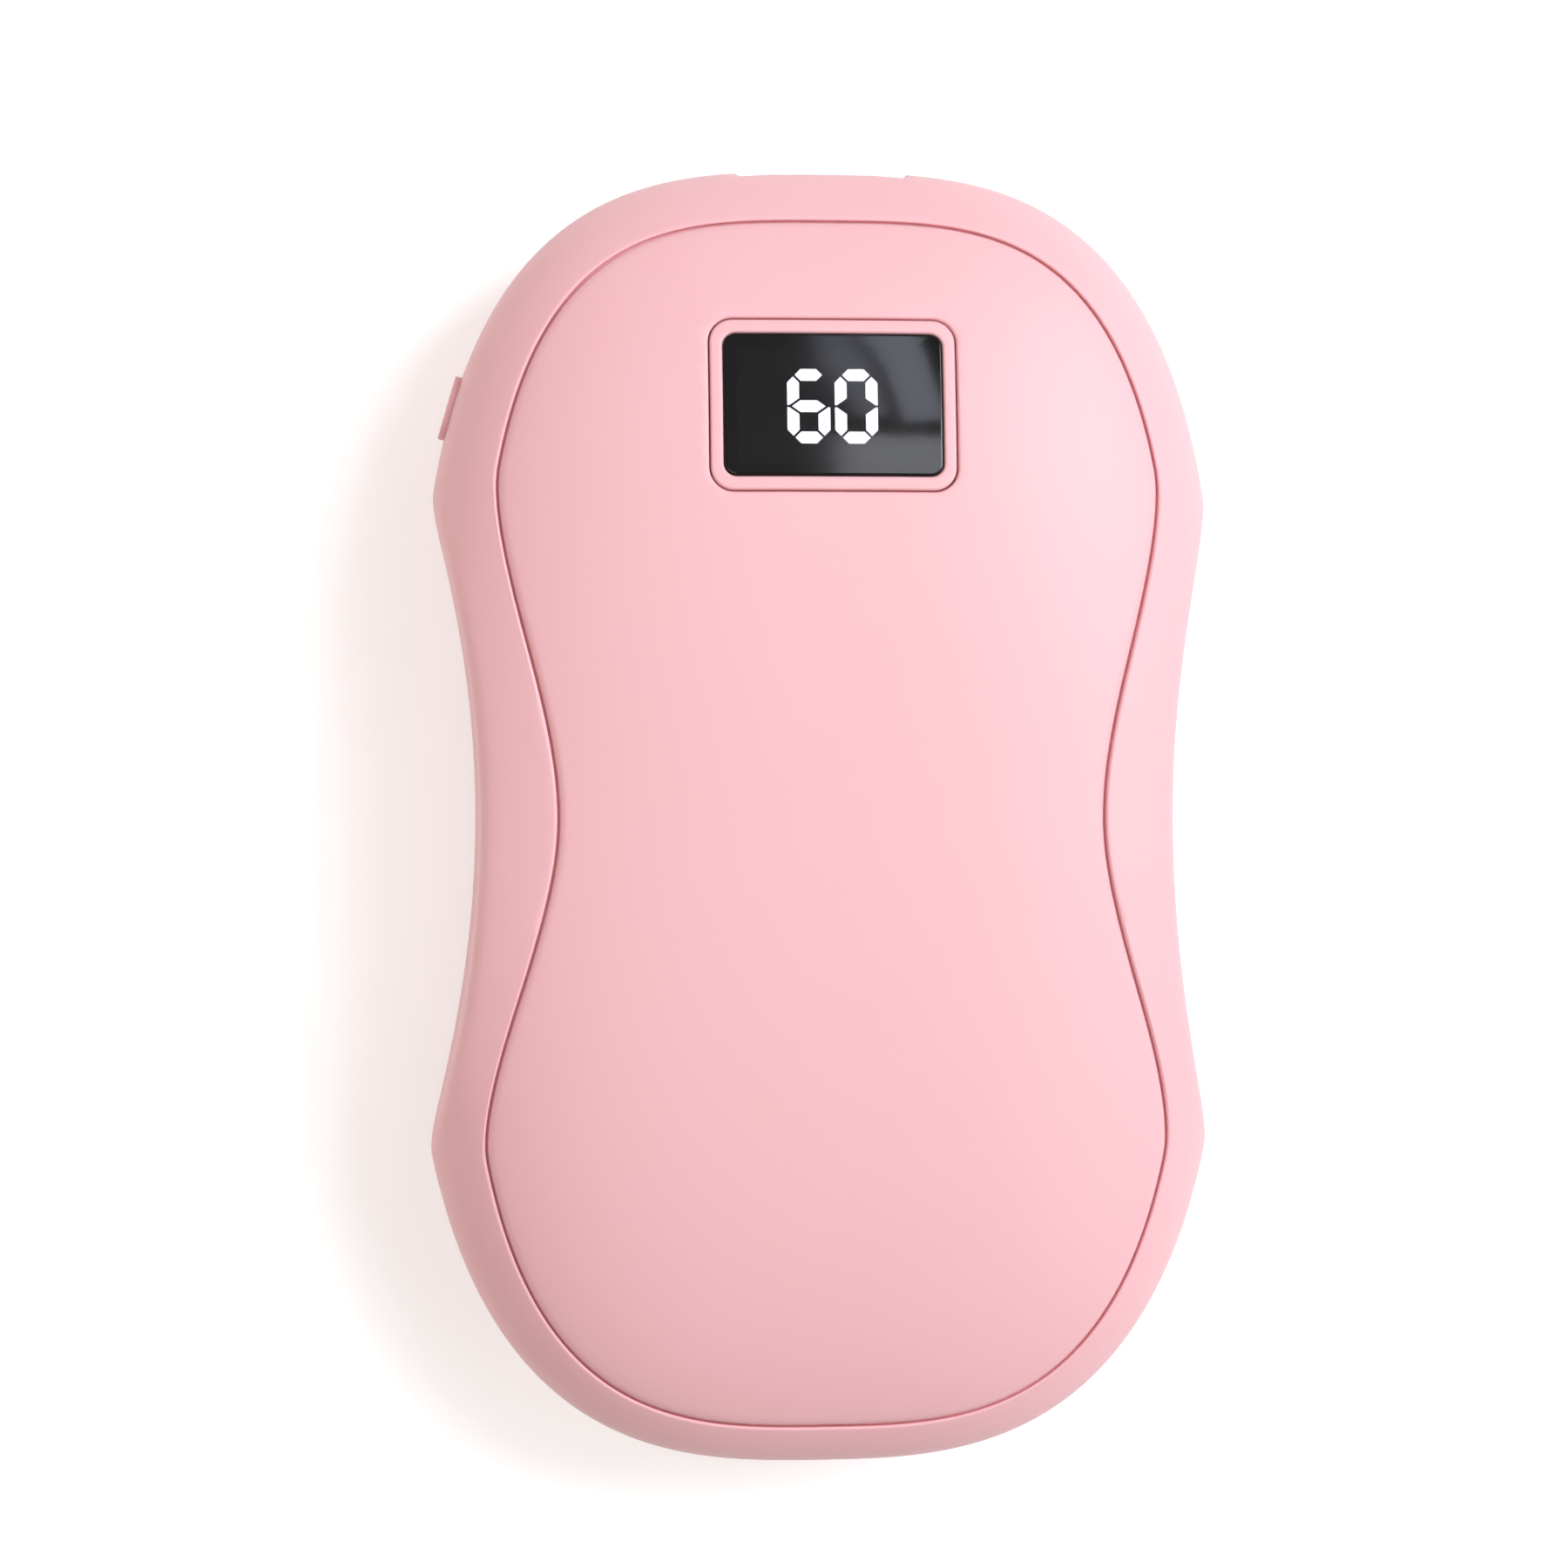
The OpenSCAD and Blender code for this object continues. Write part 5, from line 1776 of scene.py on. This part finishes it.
@dataclass
class Socket:
    """End recess, the plate that fills it, the charging socket and the charge light."""

    pebble: Pebble
    recess: Spot = (15.2, 6.1)
    recess_round: float = 1.0
    recess_lip: float = 0.15
    depth: float = 7.0
    sink: float = 0.3
    bulge: float = 0.14
    play: float = 0.1
    plate_lip: float = 0.12
    plate_rings: int = 10
    lip_steps: int = 4
    tab_reach: float = 1.6
    tab_half: float = 2.0
    tab_span: Spot = (53.6, 54.8)
    mouth: float = 0.8
    size: Spot = (8.94, 3.2)
    corner: float = 1.55
    steel: float = 0.25
    can_depth: float = 9.0
    roll_steps: int = 8
    ear: Place = (0.6, 1.5, 0.3)
    ear_low: float = -0.65
    hole_lip: float = 0.25
    light_d: float = 1.6
    light_x: float = 6.0
    light_play: float = 0.05
    light_back: float = 50.1
    light_rings: int = 4

    def plate_face(self, across: float, height: float) -> float:
        """Reach of the plate, which is sunk in the end wall and a little fuller than it."""
        fuller = self.bulge * (1 - (2 * across / self.recess[0]) ** 2)
        return self.pebble.end(across, height) - self.sink + fuller

    def seat(self, face: Callable[[float, float], float], across: float = 0.0) -> Seat:
        """A place in the end wall, looking along the body.

        Args:
            face: How far its surface reaches, at a place across the body and a height.
            across: How far to the right its middle lies.

        Returns:
            The seat, with heights counted from the middle of the body.
        """
        return Seat(
            Vector((across, 0, 0)),
            Vector((1, 0, 0)),
            Vector((0, 0, 1)),
            Vector((0, 1, 0)),
            lambda u, v: face(u + across, v),
        )

    def recess_tool(self) -> bpy.types.Object:
        """Tool that cuts the recess into both halves of the casing.

        Returns:
            The tool.
        """
        return flared_tool(
            "end_recess",
            self.seat(self.pebble.end),
            lambda grow: grown_rect(*self.recess, self.recess_round, grow),
            self.pebble.half_len - self.depth - OVERRUN,
            self.recess_lip,
        )

    def disc(self, grow: float) -> list[Spot]:
        """Outline of the charge light, grown by a length."""
        return grown_rect(self.light_d, self.light_d, self.light_d / 2 - ROUND_END, grow)

    def build_plate(self) -> bpy.types.Object:
        """Models the plate with its tabs and a softened hole for socket and light.

        Returns:
            The finished plate.
        """
        seat = self.seat(self.plate_face)
        low = self.pebble.half_len - self.depth

        def outline(grow: float) -> list[Spot]:
            """Outside of the plate, grown by a length."""
            return grown_rect(*self.recess, self.recess_round, grow - self.play)

        rings = [seat.flat(outline(0), low)]
        for inset, depth in reversed(fillet(self.plate_lip, self.lip_steps)):
            rings.append(seat.ring(outline(-inset), depth))
        rings += seat.face(outline(-self.plate_lip), 0, shares(self.plate_rings))
        piece = loft("end_plate", rings, Ends.FILLED)
        reach = self.recess[0] / 2 + self.tab_reach
        low_corner = (-reach, self.tab_span[0], -self.tab_half)
        combine(piece, bar(low_corner, (reach, self.tab_span[1], self.tab_half)), Cut.ADDED)
        mouth = flared_tool(
            "socket_hole",
            seat,
            lambda grow: grown_rect(*self.size, self.corner, self.play + grow),
            low - OVERRUN,
            self.hole_lip,
        )
        combine(piece, mouth, Cut.AWAY)
        bore = flared_tool(
            "light_hole",
            self.seat(self.plate_face, self.light_x),
            lambda grow: self.disc(self.light_play + grow),
            low - OVERRUN,
            self.plate_lip,
        )
        combine(piece, bore, Cut.AWAY)
        return settle(piece, Slot.COVER, nodes=["port_plate"])

    def build_can(self) -> bpy.types.Object:
        """Models the drawn steel can with its rolled mouth, closed back and solder ears.

        Returns:
            The finished can.
        """
        seat = self.seat(self.pebble.end)
        front = self.pebble.half_len - self.mouth
        back = front - self.can_depth
        half = self.steel / 2

        def outline(grow: float) -> list[Spot]:
            """Outside of the can, grown by a length."""
            return grown_rect(*self.size, self.corner, grow)

        rings = [seat.flat(outline(-self.steel), back), seat.flat(outline(0), back + self.steel)]
        for i in range(self.roll_steps + 1):
            turn = math.pi * i / self.roll_steps
            grow = half * (math.cos(turn) - 1)
            rings.append(seat.flat(outline(grow), front - half + half * math.sin(turn)))
        rings.append(seat.flat(outline(-self.steel), back + 2 * self.steel))
        piece = loft("socket_can", rings, Ends.FILLED)
        reach, length, thick = self.ear
        edge = self.size[0] / 2
        for way in (-1, 1):
            inner, outer = sorted((way * (edge - self.steel / 2), way * (edge + reach)))
            low = (inner, back + self.steel, self.ear_low)
            high = (outer, back + self.steel + length, self.ear_low + thick)
            combine(piece, bar(low, high), Cut.ADDED)
        return settle(piece, Slot.SOCKET, nodes=["usb_shell"])

    def build_light(self) -> bpy.types.Object:
        """Models the milky rod that carries the charge light to the plate.

        Returns:
            The finished rod.
        """
        seat = self.seat(self.pebble.end, self.light_x)
        front = self.pebble.end(self.light_x + self.light_d / 2, 0) - self.sink
        rings = [seat.flat(self.disc(0), self.light_back)]
        for inset, depth in reversed(fillet(self.plate_lip, self.lip_steps)):
            rings.append(seat.flat(self.disc(-inset), front - depth - self.light_play))
        for s in shares(self.light_rings):
            face = [(u * s, v * s) for u, v in self.disc(-self.plate_lip)]
            rings.append(seat.flat(face, front - self.light_play * s**2))
        piece = loft("light_rod", rings, Ends.FILLED)
        return settle(piece, Slot.LIGHT, nodes=["charge_light"])


# Nodes that keep their CAD shape, by the slot that dresses them
INSIDE: dict[Slot, tuple[str, ...]] = {
    Slot.TAPE: ("front_tape", "back_tape"),
    Slot.SPREADER: ("front_spreader", "back_spreader"),
    Slot.FILM: ("front_heater", "back_heater", "display_ribbon"),
    Slot.FOAM: ("front_foam", "back_foam"),
    Slot.MODULE: ("display_module",),
    Slot.LIT: ("lit_segments",),
    Slot.UNLIT: ("unlit_segments",),
    Slot.BOARD: ("display_board", "main_board"),
    Slot.CONNECTOR: ("display_socket", "battery_socket", "charge_led"),
    Slot.SWITCH: ("switch_body",),
    Slot.PLUNGER: ("switch_plunger",),
    Slot.TONGUE: ("usb_tongue",),
    Slot.CONTACT: ("usb_contacts",),
    Slot.CHIP: ("power_inductor", "board_chips"),
    Slot.CAPACITOR: ("capacitors",),
    Slot.POUCH: ("battery_cell",),
    Slot.CELL_BOARD: ("battery_board",),
    Slot.WIRE_RED: ("battery_lead_red",),
    Slot.WIRE_BLACK: ("battery_lead_black",),
    Slot.WIRE_TINNED: ("front_heater_leads", "back_heater_leads"),
    Slot.SENSOR: ("front_sensor", "back_sensor"),
    Slot.SCREW: ("case_screws",),
}


def dress_inside() -> None:
    """Gives every part that keeps its CAD shape the finish of its slot."""
    for slot, names in INSIDE.items():
        for name in names:
            part = bpy.data.objects[name]
            part.data.materials.clear()
            part.data.materials.append(material_of(slot))
            LOG.info("%s takes %s", name, FINISHES[slot].title)


# Studio


@dataclass(frozen=True)
class Lamp:
    """Soft box that hangs over the body and looks at it, turned about its own axis.

    One that isn't mirrored lights surfaces but doesn't show in glossy ones.
    """

    name: str
    place: Place
    size: Spot
    watts: float
    colour: str = "#FFFFFF"
    turn: float = 0.0
    mirrored: bool = True
    aim: Place = (0.0, 0.0, 13.0)

    def target(self) -> Vector:
        """Point that the lamp looks at."""
        return Vector(self.aim)

    def build(self) -> None:
        """Hangs the lamp."""
        light = bpy.data.lights.new(self.name, "AREA")
        light.shape = "RECTANGLE"
        light.size, light.size_y = (side * MM for side in self.size)
        light.energy = self.watts
        light.color = linear(self.colour)[:3]
        lamp = bpy.data.objects.new(self.name, light)
        lamp.location = Vector(self.place) * MM
        away = self.target() - Vector(self.place)
        lamp.rotation_euler = away.to_track_quat("-Z", "Y").to_euler()
        lamp.rotation_euler.rotate_axis("Z", math.radians(self.turn))
        lamp.visible_glossy = self.mirrored
        bpy.context.scene.collection.objects.link(lamp)


@dataclass(frozen=True)
class Pane(Lamp):
    """Weak pane that looks straight down. The display's window mirrors it."""

    def target(self) -> Vector:
        """Point of the floor under the pane."""
        return Vector((*self.place[:2], 0))


@dataclass
class Studio:
    """Pale floor, white surround, soft boxes and the camera."""

    pebble: Pebble
    floor_size: float = 4000.0
    distance: float = 395.7
    azimuth: float = math.radians(-6.026)
    elevation: float = math.radians(2.138)
    focal: float = 101.54
    sensor: float = 36.0
    near: float = 0.01
    off_centre: Spot = (-3.18, 3.06)
    white: str = "#FFFFFF"
    paper: str = "#EDEDED"
    horizon: float = 0.189
    zenith: float = 0.33
    ambient_colour: str = "#FFF4E6"
    floor_glow: float = 0.46
    far_glow: float = 1.0
    glow_rise: Spot = (220.0, 600.0)
    lamps: tuple[Lamp, ...] = (
        Lamp("key_right", (520.0, 260.0, 620.0), (420.0, 420.0), 5.07, "#F0F8FF"),
        Lamp("key_low", (520.0, -260.0, 620.0), (420.0, 420.0), 0.85, "#F0F8FF"),
        Lamp("sheen", (280.0, 225.0, 690.0), (130.0, 150.0), 0.8, "#F0F8FF"),
        Lamp("fill_left", (-650.0, 120.0, 100.0), (300.0, 300.0), 0.98, "#FFF4E6", mirrored=False),
        Lamp("fill_top", (-160.0, 0.0, 900.0), (300.0, 300.0), 1.0, "#FFFAF8"),
        Pane("pane_dim", (28.5, 311.0, 700.0), (97.0, 236.0), 0.0158, "#D6E2FF"),
        Pane("pane_left", (86.0, 357.0, 700.0), (19.0, 176.0), 0.027, "#E4EAFF", 6.0),
        Pane("pane_right", (129.0, 355.0, 700.0), (48.0, 180.0), 0.095, "#E4EAFF", 8.0),
        Pane("pane_low", (120.0, 218.0, 700.0), (120.0, 56.0), 0.079, "#F2F5FF"),
    )

    def build_camera(self) -> None:
        """Places the camera as the photograph was taken."""
        centre = Vector((0, 0, self.pebble.mid_z))
        level = math.cos(self.elevation)
        across, toward = math.sin(self.azimuth) * level, math.cos(self.azimuth) * level
        away = Vector((across, math.sin(self.elevation), toward))
        right = Vector((0, 1, 0)).cross(away).normalized()
        upward = away.cross(right)
        place = centre + self.distance * away
        aim = centre + self.off_centre[0] * right + self.off_centre[1] * upward
        back = (place - aim).normalized()
        side = Vector((0, 1, 0)).cross(back).normalized()
        turned = Matrix((side, back.cross(side), back)).transposed().to_4x4()
        lens = bpy.data.cameras.new("camera")
        lens.lens = self.focal
        lens.sensor_width = self.sensor
        lens.clip_start = self.near
        camera = bpy.data.objects.new("camera", lens)
        camera.matrix_world = Matrix.Translation(place * MM) @ turned
        bpy.context.scene.collection.objects.link(camera)
        bpy.context.scene.camera = camera

    def build_floor(self) -> None:
        """Lays the floor, which glows for the eye alone.

        The glow is low enough near the body to keep its shadow, and grows to white farther out.
        """
        clear_selection()
        bpy.ops.mesh.primitive_plane_add(size=self.floor_size * MM)
        floor = bpy.context.object
        floor.name = "floor"
        made = bpy.data.materials.new("white_sweep")
        made.use_nodes = True
        tree = made.node_tree
        tree.nodes.clear()
        paper = add_node(tree, "ShaderNodeBsdfDiffuse", {"Color": linear(self.paper)})
        spot = add_node(tree, "ShaderNodeTexCoord").outputs["Object"]
        away = add_node(tree, "ShaderNodeVectorMath", {"operation": "LENGTH"}, {"Vector": spot})
        level = add_node(
            tree,
            "ShaderNodeMapRange",
            {
                "From Min": self.glow_rise[0] * MM,
                "From Max": self.glow_rise[1] * MM,
                "To Min": self.floor_glow,
                "To Max": self.far_glow,
            },
            {"Value": away.outputs["Value"]},
        )
        glow = add_node(
            tree,
            "ShaderNodeEmission",
            {"Color": linear(self.white)},
            {"Strength": level.outputs["Result"]},
        )
        path = add_node(tree, "ShaderNodeLightPath")
        seen = add_node(
            tree,
            "ShaderNodeMath",
            {"operation": "MAXIMUM"},
            {"Value": path.outputs["Is Camera Ray"], "Value_001": path.outputs["Is Glossy Ray"]},
        )
        both = add_node(
            tree,
            "ShaderNodeAddShader",
            links={"Shader": paper.outputs["BSDF"], "Shader_001": glow.outputs["Emission"]},
        )
        chosen = add_node(
            tree,
            "ShaderNodeMixShader",
            links={
                "Fac": seen.outputs["Value"],
                "Shader": paper.outputs["BSDF"],
                "Shader_001": both.outputs["Shader"],
            },
        )
        add_node(tree, "ShaderNodeOutputMaterial", links={"Surface": chosen.outputs["Shader"]})
        floor.data.materials.append(made)

    def build_world(self) -> None:
        """Surrounds the set: even light for surfaces, and white behind for the eye."""
        world = bpy.data.worlds.new("surround")
        world.use_nodes = True
        bpy.context.scene.world = world
        tree = world.node_tree
        tree.nodes.clear()
        path = add_node(tree, "ShaderNodeLightPath")
        facing = add_node(tree, "ShaderNodeTexCoord").outputs["Generated"]
        split = add_node(tree, "ShaderNodeSeparateXYZ", links={"Vector": facing})
        level = add_node(
            tree,
            "ShaderNodeMapRange",
            {"To Min": self.horizon, "To Max": self.zenith},
            {"Value": split.outputs["Z"]},
        )
        soft = add_node(
            tree,
            "ShaderNodeBackground",
            {"Color": linear(self.ambient_colour)},
            {"Strength": level.outputs["Result"]},
        )
        white = add_node(
            tree, "ShaderNodeBackground", {"Color": linear(self.white), "Strength": 1.0}
        )
        chosen = add_node(
            tree,
            "ShaderNodeMixShader",
            links={
                "Fac": path.outputs["Is Camera Ray"],
                "Shader": soft.outputs["Background"],
                "Shader_001": white.outputs["Background"],
            },
        )
        add_node(tree, "ShaderNodeOutputWorld", links={"Surface": chosen.outputs["Shader"]})

    def build(self) -> None:
        """Sets up the whole studio."""
        self.build_floor()
        self.build_world()
        for lamp in self.lamps:
            lamp.build()
        self.build_camera()
        bpy.context.scene.view_settings.view_transform = "Standard"


def main() -> None:
    """Builds the hand warmer piece by piece, and then the studio round it."""
    logging.basicConfig(level=logging.INFO, format="%(name)s: %(message)s")
    pebble = Pebble.from_frame()
    casing = Casing(pebble, CoverOutline(pebble))
    display = Display(pebble)
    button = PowerButton(pebble)
    socket = Socket(pebble)
    openings = [socket.recess_tool, button.slot_tool, button.pocket_tool]
    for side in Side:
        casing.build(side, openings)
    covers = Covers(casing)
    covers.build(Side.FRONT, [display.hole_tool])
    covers.build(Side.BACK, [])
    display.build_bezel()
    display.build_window()
    button.build()
    socket.build_plate()
    socket.build_can()
    socket.build_light()
    dress_inside()
    Studio(pebble).build()


if __name__ == "__main__":
    main()
